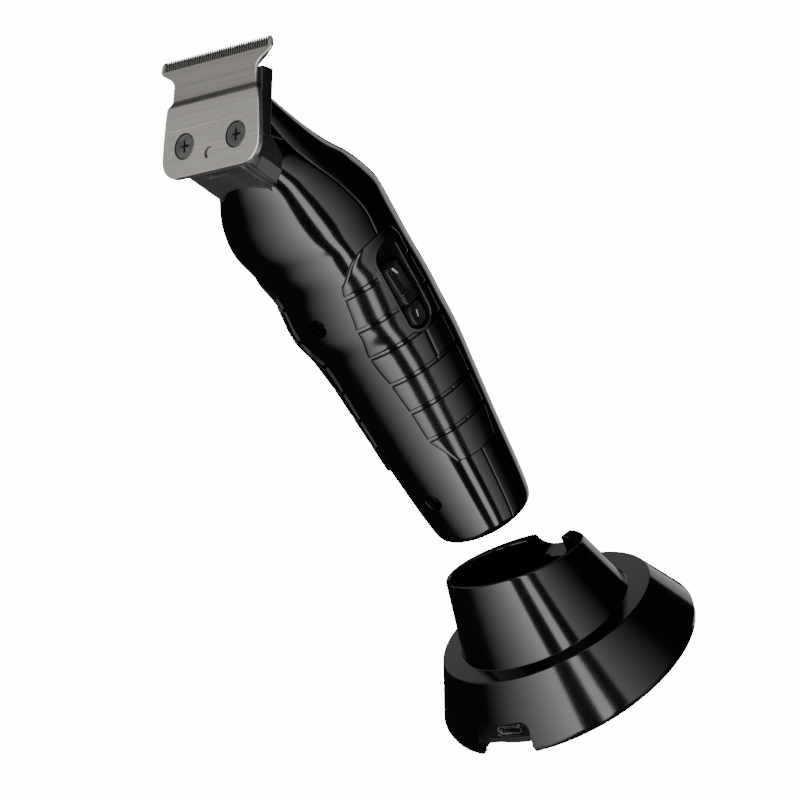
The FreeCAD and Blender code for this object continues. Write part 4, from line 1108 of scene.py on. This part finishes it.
    def foot(self) -> None:
        """The contact carrier in the bottom, with a fine raised ring, and its two contacts."""
        section = ((3.0, 0.0), (7.4, 0.0), (7.5, 0.12), (7.9, 0.12), (8.0, 0.0), (8.8, 0.0), (9.0, 0.2), (9.0, 2.6))
        disc = Skin().tube(turned(section, 72)).piece("carrier_disc", Coating.NYLON, lift=REST)
        seats = [Skin().tube(slab("z", round_box(1.7, -3.2, 3.2, 0.5), -1.0, 0.6, (x, 0.0))
                             ).piece("seat", Coating.NYLON, lift=REST) for x in (-4.0, 4.0)]
        rides(carve(disc, *seats), "clipper", "black_nylon", "contact_carrier")
        plate = Skin().tube(layers("z", lambda inset: round_box(1.62, -3.12, 3.12, 0.45, inset),
                                   ((0.55, 0.0), (0.08, 0.0), (0.02, 0.1), (0.0, 0.4), (0.08, 0.9))))
        made = PATTERNS["row"].make("contact_plates", Coating.GOLD, Count=2, Start=(-4.0 * MM, 0.0, 0.0),
                                    Step=(8.0 * MM, 0.0, 0.0),
                                    Solid=plate.piece("contact_solid", Coating.GOLD, lift=REST))
        rides(made, "clipper", "gold_contact", "charging_contacts")

    def build(self) -> None:
        """Make every piece of the body."""
        self.front()
        self.rear()
        self.screws()
        self.foot()


# ---------------------------------------------------------------- side grips

@dataclass
class SideGrips:
    """A thin shield on each side that carries raised pads like plates of armour."""

    proud: float = 0.72
    base_proud: float = -0.25
    sunk: float = -0.5
    gap: float = 1.15
    crease: float = 42.0
    split_joint: float = 57.0
    rolled: tuple[Flat, ...] = ((0.0, 0.34), (0.1, 0.15), (0.3, 0.045), (0.62, 0.0))
    fronts: tuple[Flat, ...] = ((27.0, -12.6), (31.0, -14.6), (36.6, -15.3), (46.5, -15.8), (57.0, -16.6),
                                (67.7, -18.2), (76.8, -19.5), (80.0, -19.4), (87.0, -17.9))
    rears: tuple[Flat, ...] = ((27.0, 1.6), (31.0, 3.0), (36.6, 3.5), (67.7, 3.6), (87.0, 3.6))
    joints: tuple[float, ...] = (26.9, 36.6, 46.8, 57.0, 67.2, 77.0, 87.0)

    def edges(self, inset: float) -> tuple[Curve, Curve]:
        """Curves of y up the front and rear edges, drawn in."""
        return (Curve([z for z, _ in self.fronts], [y + inset for _, y in self.fronts]),
                Curve([z for z, _ in self.rears], [y - inset for _, y in self.rears]))

    def spot(self, side: int, y: float, up: float, out: float) -> Point:
        """A point of the body's surface at y and a height, on one side."""
        angle = BODY.angle(y, up)
        x, at, z = BODY.point(angle, up, out)
        return side * x, at, z

    def patch(self, skin: Skin, side: int, low: Sequence[Flat], high: Sequence[Flat], out: float,
              rows: int = 10) -> None:
        """A closed pad between a lower and an upper line of the same count.

        Args:
            skin: Where the pad goes.
            side: -1 or 1.
            low: y and height along the lower edge.
            high: y and height along the upper edge.
            out: How far its face stands out.
            rows: Rows between the edges.
        """
        flats = [[((1 - t) * a[0] + t * b[0], (1 - t) * a[1] + t * b[1]) for a, b in zip(low, high)]
                 for t in self.shares(math.dist(low[0], high[0]), rows)]
        outer = []
        for r, line in enumerate(flats):
            across = self.dip(r, len(flats))
            drops = [max(across, self.dip(c, len(line))) for c in range(len(line))]
            outer.append([self.spot(side, y, up, out - fall) for fall, (y, up) in zip(drops, line)])
        skin.wall(outer, [[self.spot(side, y, up, self.sunk) for y, up in line] for line in flats])

    def shares(self, run: float, count: int) -> list[float]:
        """Where the points stand along a run in mm, close together at both ends."""
        close = [at / run for at, _ in self.rolled]
        inner = [close[-1] + (1 - 2 * close[-1]) * n / count for n in range(1, count)]
        return [*close, *inner, *[1 - share for share in reversed(close)]]

    def dip(self, index: int, count: int) -> float:
        """How far the rolled edge drops at a point of a run."""
        near = min(index, count - 1 - index)
        return self.rolled[near][1] if near < len(self.rolled) else 0.0

    def line(self, start: Flat, end: Flat, bow: float, count: int = 26) -> list[Flat]:
        """A slightly bowed line of y and height with close points at both ends."""
        shares = self.shares(math.dist(start, end), count)
        return [(start[0] + (end[0] - start[0]) * t, start[1] + (end[1] - start[1]) * t + bow * 4 * t * (1 - t))
                for t in shares]

    def pads(self, side: int) -> list[tuple[list[Flat], list[Flat]]]:
        """Lower and upper lines of each pad on one side."""
        front, rear = self.edges(0.75)
        half = self.gap / 2
        found = []
        for low, high in zip(self.joints, self.joints[1:]):
            lowest = low == self.joints[0]
            bottom, top = (low if lowest else low + half), high - half
            split = side > 0 and low == self.split_joint
            for left, right in ((None, -5.25), (-4.85, None)) if split else ((None, None),):
                ends = [(front(up) if left is None else left, rear(up) if right is None else right)
                        for up in (bottom, top)]
                found.append((self.line((ends[0][0], bottom), (ends[0][1], bottom), -0.9 if lowest else 0.0),
                              self.line((ends[1][0], top), (ends[1][1], top), 0.0)))
        dome = Curve([-17.0, -14.6, -11.0, -7.5, -3.0, 0.6, 2.9], [90.6, 95.7, 97.5, 98.0, 98.2, 97.2, 93.6])
        base = self.joints[-1] + half
        lower = self.line((-17.2, base), (2.9, base), 0.0, 34)
        return [*found, (lower, [(y * 0.985, dome(y)) for y, _ in lower])]

    def shield(self, side: int) -> Skin:
        """The thin shield under the pads."""
        front, rear = self.edges(0.0)
        top = self.joints[-1]
        heights = [top, 92.0, 95.6, 98.0, 98.9]
        left, right = Curve(heights, [0.0, 0.6, 2.9, 7.2, 11.0]), Curve(heights, [0.0, -0.2, -1.0, -3.6, -7.0])
        ups = [26.3, 28, 31, 36, 42, 48, 54, 60, 66, 72, 78, 84, 87, 89.5, 92, 94, 95.6, 97.0, 98.1, 98.9]
        rows = [self.line((front(min(up, top)) + left(up), up), (rear(min(up, top)) + right(up), up), 0.0, 20)
                for up in ups]
        outer = []
        for r, line in enumerate(rows):
            ends = (0, len(line) - 1)
            falls = [0.25 if r in (0, len(rows) - 1) or c in ends else 0.0 for c in range(len(line))]
            outer.append([self.spot(side, y, up, self.base_proud - fall) for fall, (y, up) in zip(falls, line)])
        return Skin().wall(outer, [[self.spot(side, y, up, self.sunk) for y, up in line] for line in rows])

    def build_side(self, side: int, word: str) -> None:
        """One side's shield and pads."""
        plates = [self.shield(side)]
        for low, high in self.pads(side):
            plates.append(Skin())
            self.patch(plates[-1], side, low, high, self.proud)
        pieces = []
        for plate in plates:
            pieces.append(plate.piece(f"grip_{word}", Coating.GRIP, lift=REST, angle=self.crease))
            if side > 0 and max(point[2] for point in plate.points) > WINDOW_LOW - 1.0:
                carve(pieces[-1], CLIPPER.window(0.75), angle=self.crease)
        for extra in pieces[1:]:
            join(pieces[0], extra)
        rides(smooth(pieces[0], self.crease), "clipper", "satin_black_grip", f"grip_plate_{word}")

    def build(self) -> None:
        """Make both sides."""
        self.build_side(-1, "left")
        self.build_side(1, "right")

# ---------------------------------------------------------------- switches

@dataclass
class Switches:
    """The tray in the side window with the slider and the speed button."""

    floor_x: float = 17.2
    slider_half: float = 3.0
    slider: Flat = (76.0, 88.4)
    button_half: float = 2.95
    button: Flat = (68.9, 75.4)
    button_middle: float = 72.1

    @staticmethod
    def cut(start: float, end: float, outline: Sequence[Flat]) -> Skin:
        """A straight block across the window between two places along x."""
        return Skin().tube(slab("x", outline, start, end, (WINDOW_Y, 0.0)))

    def tray(self) -> None:
        """The bezel: a rolled rim on the grip, deep walls and a floor."""
        rolled = ((0.0, -1.05), (0.55, -1.1), (0.74, -0.95), (0.8, -0.6), (0.78, -0.02), (0.7, 0.06), (0.5, 0.1),
                  (-0.4, 0.25))
        rings = layers("x", lambda inset: racetrack(WINDOW_HALF, WINDOW_LOW, WINDOW_HIGH, inset),
                       ((self.floor_x, 0.0), *rolled, (self.floor_x + 0.65, 0.7)), (WINDOW_Y, 0.0))
        for ring in rings[1:-1]:
            ring[:] = [(BODY.point(BODY.angle(y, up), up, out)[0], y, up) for out, y, up in ring]
        tray = Skin().tube(rings).piece("bezel_tray", Coating.BEZEL, lift=REST)
        holes = (round_box(1.3, 78.0, 91.8, 0.5), circle(1.7, 24, 0.0, self.button_middle))
        carve(tray, *(self.cut(16.0, 19.0, hole).piece("hole", Coating.BEZEL, lift=REST) for hole in holes))
        rides(tray, "clipper", "black_nylon", "switch_bezel")

    def key(self, half: float, span: Flat, base: float, corner: float, face: Callable[[float, float], float]) -> Skin:
        """A moulded key with rounded edges and a shaped face.

        Args:
            half: Half its width.
            span: Its lowest and its highest height.
            base: x of its back.
            corner: Radius of its corners.
            face: x of its face at y from the middle and a height.

        Returns:
            The key's skin.
        """
        rings = [[(base, WINDOW_Y + y, up) for y, up in round_box(half, *span, corner)]]
        for inset, fall in ((0.0, 0.55), (0.08, 0.2), (0.28, 0.04), (0.6, 0), (1.0, 0), (1.5, 0), (2.0, 0), (2.5, 0)):
            if inset < half - 0.3:
                outline = round_box(half, *span, corner, inset)
                rings.append([(face(y, up) - fall, WINDOW_Y + y, up) for y, up in outline])
        return Skin().tube(rings)

    def thumb_slider(self) -> None:
        """The on-off slider: hollowed for a thumb, ribbed below, with a slanted mark."""
        def face(y: float, up: float) -> float:
            return 21.7 - 1.35 * bump(83.6, 3.4, up) - 0.4 * bump(0.0, 1.8, y) * blend(79.0, 82.0, up)
        key = self.key(self.slider_half, self.slider, 18.1, 1.2, face)
        key.tube(slab("x", round_box(1.0, 80.0, 83.0, 0.3), 16.0, 18.4, (WINDOW_Y, 0.0)))
        rides(key.piece("thumb_slider", Coating.SLIDER, lift=REST), "power_slider", "black_nylon", "power_slider")
        rib = Skin().tube(layers("x", lambda inset: round_box(2.55, -0.26, 0.26, 0.2, inset),
                                 ((21.0, 0.0), (21.75, 0.0), (21.95, 0.12)), (WINDOW_Y, 0.0)))
        ribs = PATTERNS["row"].make("slider_ribs", Coating.SLIDER, Count=4, Start=(0.0, 0.0, 76.9 * MM),
                                    Step=(0.0, 0.0, 0.85 * MM), Solid=rib.piece("rib", Coating.SLIDER, lift=REST))
        rides(ribs, "power_slider", "black_nylon")
        self.mark("slider_mark", "power_slider", 86.3, 0.42, 1.25, 21.52)

    def mark(self, name: str, body: str, up: float, lean: float, half: float, x: float) -> None:
        """A short slanted inlay.

        Args:
            name: The piece's name.
            body: The body that it rides on.
            up: Height of its middle.
            lean: How far it leans, in radians.
            half: Half its length.
            x: Where its face starts to round over.
        """
        across, along = math.cos(lean), math.sin(lean)
        rings = layers("x", lambda inset: [(y * across - z * along, y * along + z * across)
                                           for y, z in round_box(0.19, -half, half, 0.17, inset)],
                       ((x - 0.5, 0.0), (x, 0.0), (x + 0.08, 0.08)), (WINDOW_Y, up))
        rides(Skin().tube(rings).piece(name, Coating.MARK, lift=REST), body, "white_nylon")

    def speed_key(self) -> None:
        """The speed button with its mark."""
        middle = sum(self.button) / 2
        key = self.key(self.button_half, self.button, 19.0, 2.0,
                       lambda y, up: 21.3 - 0.5 * bump(middle, 2.2, up) * bump(0.0, 2.4, y))
        key.tube(slab("x", circle(1.3, 24, 0.0, self.button_middle), 16.9, 19.2, (WINDOW_Y, 0.0)))
        rides(key.piece("speed_key", Coating.SLIDER, lift=REST), "speed_button", "black_nylon", "speed_button")
        self.mark("button_mark", "speed_button", self.button_middle, -0.32, 1.1, 20.95)

    def build(self) -> None:
        """Make the tray and both keys."""
        self.tray()
        self.thumb_slider()
        self.speed_key()


# ---------------------------------------------------------------- head

@dataclass
class BladeHead:
    """The T-shaped blade, its bracket and screws, and the cutter behind it, in the blade's plane."""

    pitch: float = 0.84
    tip: float = 34.6
    comb_root: float = 31.6
    half_wide: float = 18.3
    corner: float = 6.0
    screw_at: Flat = (9.7, 8.65)
    bracket_lean: float = 3.4 / 12.0

    def half_width(self, up: float) -> float:
        """Half the blade's width at a distance up it."""
        if up < self.corner:
            return self.half_wide - self.corner + math.sqrt(max(0.0, self.corner ** 2 - (self.corner - up) ** 2))
        return Curve([6.0, 9.0, 20.2, 20.6, 21.8, 26.6, 28.2, 29.6, 30.5, 31.2, 33.6, 34.3],
                     [18.3, 18.2, 17.2, 16.9, 15.9, 15.6, 16.4, 18.4, 20.0, 20.9, 20.9, 20.4])(up)

    def face(self, up: float) -> float:
        """How far the front face stands out at a distance up the blade."""
        return Curve([20.3, 20.7, 22.0, 22.4, 31.0, 34.6], [0.0, -0.06, -0.62, -0.68, -0.95, -1.28])(up)

    def back(self, up: float) -> float:
        """How far the back face stands out."""
        return Curve([26.0, 31.0, 34.6], [-2.0, -1.95, -1.7])(up)

    def section(self, up: float, round_by: float) -> list[Point]:
        """The bevelled section at a distance up the blade."""
        wide, top, low = self.half_width(up), self.face(up) - round_by, self.back(up) + round_by
        ease = min(0.28, (top - low) * 0.35)
        middle = [0.999 - 0.999 * 2 * n / 12 for n in range(1, 12)]
        flat = wide - ease
        upper = [(flat, up, top), *((flat * k, up, top) for k in middle), (-flat, up, top)]
        lower = [(-flat, up, low), *((flat * k, up, low) for k in reversed(middle)), (flat, up, low)]
        return [(wide, up, low + ease), (wide, up, top - ease), *upper,
                (-wide, up, top - ease), (-wide, up, low + ease), *lower]

    def plate(self) -> None:
        """The fixed blade, dressed in steel with a darker ground band, and its comb."""
        ups = [0.0, 0.07, 0.28, 0.6, 1.1, 1.8, 2.6, 3.5, 4.6, 6.0, 9.0, 13.0, 17.0, 20.2, 20.6, 21.2, 21.8, 22.3, 24.0,
               26.6, 27.4, 28.2, 28.9, 29.6, 30.1, 30.5, 30.9, 31.2, 31.6]
        ends = {0.0: 0.28, 0.07: 0.1}
        band_low, band_high = 20.3, 22.1
        marks = [(middle >= band_low) + (middle >= band_high) for middle in ((a + b) / 2 for a, b in zip(ups, ups[1:]))]
        rings = [self.section(up, ends.get(up, 0.0)) for up in ups]
        plate = Skin().tube(rings, marks).piece("blade_plate", Coating.BLADE, Coating.BAND, Coating.UPPER, tipped=True)
        for side in (-1, 1):
            ear = Skin().tube([self.ear(side, up) for up in (31.55, 32.6, 33.5, 34.1, 34.5)])
            join(plate, ear.piece("ear", Coating.BLADE, tipped=True))
        x, s = self.screw_at
        sink = ((-1.5, 2.0), (-1.05, 3.75), (0.6, 3.75))
        holes = [layers("z", lambda radius: circle(radius, 48, side * x, s), sink) for side in (-1, 1)]
        holes.append(slab("z", self.crescent(), -0.9, 0.6))
        carve(plate, *(Skin().tube(hole).piece("hole", Coating.BAND, tipped=True) for hole in holes))
        rides(plate, "clipper", "brushed_blade_steel", "fixed_blade")
        # The comb's teeth carry the darkened steel: painted shade on the sloping teeth.
        self.comb("comb_teeth", "clipper", Coating.TEETH, 47, 0.5, (self.comb_root - 0.4, self.tip), (-0.98, -1.3),
                  (-1.9, -1.66), "brushed_blade_steel")

    def ear(self, side: int, up: float) -> list[Point]:
        """The solid end of the comb on one side."""
        outer, inner = side * self.half_width(up), side * 19.7
        top, low = self.face(up), self.back(up)
        if up > 34.3:
            outer, top, low = outer - side * 0.25, top - 0.12, low + 0.12
        return [(outer, up, low), (outer, up, top), (inner, up, top), (inner, up, low)]

    def crescent(self) -> list[Flat]:
        """The outline of the half-moon opening between the screws."""
        return [*arc(0.0, 5.2, 1.8, 70 / 180, 170 / 180, 17), *arc(0.4, 5.2, 1.2, 235 / 180, -160 / 180, 17)]

    def comb(self, name: str, body: str, coating: Coating, count: int, wide: float, span: Flat, tops: Flat, lows: Flat,
             slot: str) -> None:
        """A row of tapered teeth.

        Args:
            name: The piece's name.
            body: The body that it rides on.
            coating: Its finish.
            count: How many teeth.
            wide: Width of a tooth at its root.
            span: Where a tooth starts and ends up the blade.
            tops: Front face at the root and the tip.
            lows: Back face at the root and the tip.
            slot: The record's material slot.
        """
        rings = []
        for share, narrow in ((0.0, 1.0), (0.6, 0.96), (0.9, 0.8), (1.0, 0.42)):
            up, top, low = (a + (b - a) * share for a, b in (span, tops, lows))
            half = wide / 2 * narrow
            rings.append([(half, up, low), (half, up, top - 0.08), (half * 0.6, up, top), (-half * 0.6, up, top),
                          (-half, up, top - 0.08), (-half, up, low)])
        made = PATTERNS["row"].make(name, coating, Count=count, Start=(-(count - 1) / 2 * self.pitch * MM, 0.0, 0.0),
                                    Step=(self.pitch * MM, 0.0, 0.0),
                                    Solid=Skin().tube(rings).piece("tooth", coating, tipped=True))
        rides(made, body, slot)

    def cutter(self) -> None:
        """The moving cutter with its own comb, and the yoke that drives it."""
        wide = Curve([15.0, 26.0, 28.5, 30.4, 31.2], [12.0, 12.2, 15.0, 17.6, 18.2])
        ease = 0.2
        rings = []
        for up in (15.0, 15.3, 20.0, 26.8, 28.5, 30.4, 31.2):
            w = wide(up)
            rings.append([(w, up, -3.4), (w, up, -2.3), (w - ease, up, -2.12), (-w + ease, up, -2.12), (-w, up, -2.3),
                          (-w, up, -3.4), (-w + ease, up, -3.6), (w - ease, up, -3.6)])
        plate = Skin().tube(rings).piece("cutter_plate", Coating.CUTTER, tipped=True)
        rides(plate, "cutter", "cutter_steel", "cutter_blade")
        self.comb("cutter_teeth", "cutter", Coating.CUTTER, 43, 0.46, (31.0, 33.9), (-2.12, -2.12), (-3.5, -2.6),
                  "cutter_steel")
        yoke = Skin()
        levels = ((-3.6, 0.0), (-6.8, 0.0), (-7.0, 0.2))
        for x, *box in ((-6.7, 2.3, 15.5, 25.0, 0.6), (6.7, 2.3, 15.5, 25.0, 0.6), (0.0, 5.0, 22.4, 25.0, 0.4)):
            yoke.tube(layers("z", lambda inset: round_box(*box, inset), levels, (x, 0.0)))
        rides(yoke.piece("drive_yoke", Coating.WHITE_NYLON, tipped=True), "cutter", "white_nylon", "cutter_yoke")

    def block_plan(self, t: float, inset: float) -> list[Point]:
        """The bracket's outline at one depth."""
        lean = (t + 2.0) * self.bracket_lean + 0.4
        deep = 11.5 if t > -10.5 else 11.5 + (t + 10.5)
        right = ((9.3, lean), (12.2, lean + 4.4), (12.2, deep))
        outline = [*right, *((-x, s) for x, s in reversed(right))]
        return [(x - math.copysign(inset, x), s + (inset if s < 5 else -inset), t) for x, s in outline]

    def bracket(self) -> None:
        """The moulded bracket under the heel, with its corner ribs and slot, and the cheeks behind the blade."""
        levels = ((-2.0, 0.0), (-5.0, 0.0), (-9.0, 0.0), (-10.5, 0.0), (-14.0, 0.0), (-17.5, 0.6))
        block = Skin().tube([self.block_plan(t, inset) for t, inset in levels])
        piece = block.piece("bracket_block", Coating.BRACKET, tipped=True)
        slot = Skin().tube(slab("y", round_box(3.7, -4.7, -2.9, 0.3), -6.0, 2.4))
        carve(piece, slot.piece("slot", Coating.NYLON, tipped=True))
        soften(piece, 0.25, 2, 30.0)
        rides(piece, "clipper", "black_nylon", "blade_bracket")
        ribs, cheeks = Skin(), Skin()
        for side in (-1, 1):
            for x, start, lean in ((9.2, 0.35, 0.283), (9.9, 1.3, 0.283), (10.6, 2.35, 0.283), (12.2, 5.0, 0.283),
                                   (12.2, 10.4, 0.0)):
                ribs.tube([[(a, b, t) for a, b in circle(0.3, 10, side * x, start + (t + 2.0) * lean)]
                           for t in (-2.0, -6.0, -10.0, -15.4)])
            facet = ((10.6, 1.9), (12.5, 4.9), (11.5, 5.3), (9.8, 2.5))
            ribs.tube([[(side * (x + 0.3), s + (t + 2) * 0.283 + 0.4, t) for x, s in facet] for t in (-7.2, -15.0)])
            levels = ((-2.05, 0.25), (-2.25, 0.05), (-2.6, 0.0), (-5.6, 0.0), (-6.0, 0.1), (-6.3, 0.4))
            cheeks.tube(layers("z", lambda inset: round_box(1.2, 8.0, 27.1, 0.6, inset), levels, (side * 15.85, 0.0)))
            web = [(side * x, s) for x, s in ((11.0, 8.6), (15.6, 8.6), (15.6, 11.2), (11.0, 11.2))]
            cheeks.tube(slab("z", web, -2.1, -5.6))
        rides(ribs.piece("bracket_ribs", Coating.BRACKET, tipped=True), "clipper", "black_nylon")
        rides(cheeks.piece("blade_cheeks", Coating.NYLON, tipped=True), "clipper", "black_nylon")

    def screws(self) -> None:
        """The two countersunk blade screws."""
        x, s = self.screw_at
        out = tuple(HEAD_PLACE.to_3x3() @ Vector((0.0, 0.0, 1.0)))
        places = [(tuple(HEAD_PLACE @ Vector((side * x, s, -0.12))), out) for side in (-1, 1)]
        screw_set("blade_screw_set", Coating.SCREW, cross_screw(3.42, 1.5, 1.45, 9.0), places, "clipper",
                  "blade_screws")

    def spring(self) -> None:
        """The flat spring that presses the cutter, with its two fingers bent towards it."""
        skin = Skin().tube(slab("z", round_box(8.0, 11.5, 13.9, 0.8), -7.8, -7.3))
        strip = ((1.2, -0.22), (1.2, 0.22), (-1.2, 0.22), (-1.2, -0.22))
        bends = ((13.2, 0.0), (16.0, -0.25), (19.0, 0.0), (21.4, 0.22), (22.0, 0.1))
        for side in (-1, 1):
            skin.tube([[(side * 6.8 + x, s, -7.55 + lift + t) for x, t in strip] for s, lift in bends])
        rides(skin.piece("pressure_spring", Coating.SPRING_STEEL, tipped=True), "clipper", "bright_steel",
              "cutter_spring")

    def build(self) -> None:
        """Make every piece of the head."""
        self.plate()
        self.cutter()
        self.bracket()
        self.screws()
        self.spring()


def join(piece: bpy.types.Object, extra: bpy.types.Object) -> None:
    """Add a helper's mesh to a piece and throw the helper away."""
    work = bmesh.new()
    work.from_mesh(piece.data)
    work.from_mesh(extra.data)
    work.to_mesh(piece.data)
    work.free()
    drop(extra)


# ---------------------------------------------------------------- hidden works

@dataclass
class Works:
    """The pieces inside that keep their CAD form and get a finish, with a little added trim."""

    dress: dict[str, Coating] = field(default_factory=lambda: {
        "stand_base_plate": Coating.NYLON, "stand_weight": Coating.BALLAST, "pin_holder": Coating.NYLON,
        "charge_board": Coating.BOARD, "control_board": Coating.BOARD, "power_switch": Coating.NYLON,
        "speed_switch": Coating.NYLON, "battery_cell": Coating.WRAP, "battery_cradle": Coating.NYLON,
        "motor_can": Coating.BRIGHT, "motor_end_bell": Coating.NYLON, "motor_mount": Coating.NYLON,
        "shaft_bush": Coating.BRONZE, "rotor_core": Coating.COPPER, "motor_shaft": Coating.BRIGHT,
        "eccentric_cam": Coating.WHITE_NYLON})

    def build(self) -> None:
        """Dress the CAD pieces and add a ring of ribs for the motor mount and chips to the board."""
        for name, coating in self.dress.items():
            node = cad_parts[name]
            node.data.materials.clear()
            node.data.materials.append(coating.material)
        rib = Skin().tube(slab("z", round_box(0.25, -0.7, 0.7, 0.2), 118.0, 119.4))
        ribs = PATTERNS["ring"].make("mount_ribs", Coating.NYLON, Count=16, Radius=12.0 * MM,
                                     Centre=(0.0, -7.5 * MM, 0.0),
                                     Solid=rib.piece("mount_rib_solid", Coating.NYLON, lift=REST))
        chip = Skin().tube(slab("x", round_box(0.55, -0.35, 0.35, 0.08, 0.0, 2), 14.2, 14.7))
        chips = PATTERNS["row"].make("board_chips", Coating.NYLON, Count=6, Start=(0.0, -6.4 * MM, 61.0 * MM),
                                     Step=(0.0, 1.6 * MM, 0.5 * MM),
                                     Solid=chip.piece("chip", Coating.NYLON, lift=REST))
        for trim in (ribs, chips):
            rides(trim, "clipper", "black_nylon")


# ---------------------------------------------------------------- studio

@dataclass
class Studio:
    """A pale floor, soft lights and the camera."""

    azimuth: float = 45.0
    elevation: float = 22.4
    distance: float = 0.895
    roll: float = 29.86
    view: float = 14.49
    target: Point = (-0.0034, -0.0034, 0.1016)

    @staticmethod
    def facing(azimuth: float, elevation: float) -> tuple[Vector, Vector]:
        """The directions from the clipper outwards and to the right, for angles in degrees."""
        az, el = math.radians(azimuth), math.radians(elevation)
        out = Vector((math.cos(el) * math.sin(az), -math.cos(el) * math.cos(az), math.sin(el)))
        return out, Vector((math.cos(az), math.sin(az), 0.0))

    def camera(self) -> None:
        """Create the camera and make it the scene's."""
        roll = math.radians(self.roll)
        back, right = self.facing(self.azimuth, self.elevation)
        up = back.cross(right)
        across = math.cos(roll) * right - math.sin(roll) * up
        upward = math.sin(roll) * right + math.cos(roll) * up
        data = bpy.data.cameras.new("camera")
        data.sensor_width, data.lens = 36.0, 18.0 / math.tan(math.radians(self.view) / 2)
        data.clip_start, data.clip_end = 0.05, 20.0
        made = bpy.data.objects.new("camera", data)
        turn = Matrix((across, upward, back)).transposed()
        made.matrix_world = Matrix.Translation(Vector(self.target) + back * self.distance) @ turn.to_4x4()
        bpy.context.scene.collection.objects.link(made)
        bpy.context.scene.camera = made

    def light(self, name: str, azimuth: float, elevation: float, size: Flat, glow: float, fade: int = 0) -> None:
        """A soft box one metre away that faces the clipper.

        Args:
            name: The light's name.
            azimuth: Where it stands, as the camera's angle is counted.
            elevation: How high it stands, in degrees.
            size: Its width and height in metres.
            glow: How bright its surface is.
            fade: 1 or -1 to let it fade towards its right or left edge.
        """
        data = bpy.data.lights.new(name, "AREA")
        data.shape, data.size, data.size_y = "RECTANGLE", *size
        data.energy = glow * math.pi * size[0] * size[1]
        made = bpy.data.objects.new(name, data)
        out, side = self.facing(azimuth, elevation)
        turn = Matrix((side, out.cross(side), out)).transposed()
        made.matrix_world = Matrix.Translation(Vector(self.target) + out) @ turn.to_4x4()
        made.visible_camera = False
        bpy.context.scene.collection.objects.link(made)
        if fade:
            bench = Bench(data)
            spot = bench.out(bench.node("ShaderNodeNewGeometry"), "Parametric")
            across = bench.out(bench.node("ShaderNodeSeparateXYZ", Vector=spot), "X")
            near = across if fade < 0 else 1.0 - across
            emission = bench.node("ShaderNodeEmission", Strength=bench.maths("POWER", near, 1.7))
            bench.node("ShaderNodeOutputLight", Surface=bench.out(emission))

    def floor(self) -> None:
        """The pale floor, which the glossy shell doesn't mirror."""
        half = 6.0
        corners = [(x, y, 0.0) for x, y in ((-half, -half), (half, -half), (half, half), (-half, half))]
        mesh = bpy.data.meshes.new("floor")
        mesh.from_pydata(corners, [], [(0, 1, 2, 3)])
        bench = Bench(bpy.data.materials.new("pale_floor"))
        cloud = bench.noise(3.0, 2.0)
        colour = bench.mix(cloud, (0.86, 0.86, 0.86), (0.9, 0.9, 0.9))
        mesh.materials.append(bench.close(Base_Color=colour, Roughness=0.9, Emission_Color=(1.0, 1.0, 1.0, 1.0),
                                          Emission_Strength=14.0))
        made = bpy.data.objects.new("floor", mesh)
        bpy.context.scene.collection.objects.link(made)
        made.visible_glossy = made.visible_diffuse = made.visible_shadow = False

    def world(self) -> None:
        """White behind the clipper, dim grey in what it mirrors."""
        made = bpy.data.worlds.new("studio")
        bpy.context.scene.world = made
        made.use_nodes = True
        tree = made.node_tree
        tree.nodes.clear()
        path = tree.nodes.new("ShaderNodeLightPath")
        white, dim, pick, out = (tree.nodes.new(kind) for kind in (
            "ShaderNodeBackground", "ShaderNodeBackground", "ShaderNodeMixShader", "ShaderNodeOutputWorld"))
        white.inputs["Strength"].default_value = 16.0
        dim.inputs["Strength"].default_value = 0.012
        tree.links.new(path.outputs["Is Camera Ray"], pick.inputs["Fac"])
        tree.links.new(dim.outputs[0], pick.inputs[1])
        tree.links.new(white.outputs[0], pick.inputs[2])
        tree.links.new(pick.outputs[0], out.inputs["Surface"])

    def build(self) -> None:
        """Set up the studio."""
        self.camera()
        self.floor()
        self.world()
        for setting in (("strip", 51.0, 0.0, (0.18, 2.7), 6.4), ("left", -11.0, 0.0, (1.66, 2.7), 6.6, -1),
                        ("right", 98.0, 0.0, (1.1, 2.7), 2.2, 1), ("back", 224.0, 24.0, (1.1, 0.5), 0.4),
                        ("rim", 192.0, -18.0, (0.38, 0.8), 0.8), ("blade_key", -61.0, 42.0, (0.8, 0.6), 0.75),
                        ("top", 60.0, 78.0, (0.7, 0.7), 0.6)):
            self.light(*setting)


PATTERNS: dict[str, Pattern] = {}
CLIPPER = ClipperBody()


def main() -> None:
    """Build the studio and then each sub-assembly."""
    logging.basicConfig(level=logging.INFO, format="%(name)s: %(message)s")
    PATTERNS.update(row=row_pattern(), ring=ring_pattern(), spots=spot_pattern(), coil=coil_pattern())
    for assembly in (Studio(), ChargingStand(), CLIPPER, SideGrips(), Switches(), BladeHead(), Works()):
        LOG.info("building %s", type(assembly).__name__)
        assembly.build()


if __name__ == "__main__":
    main()
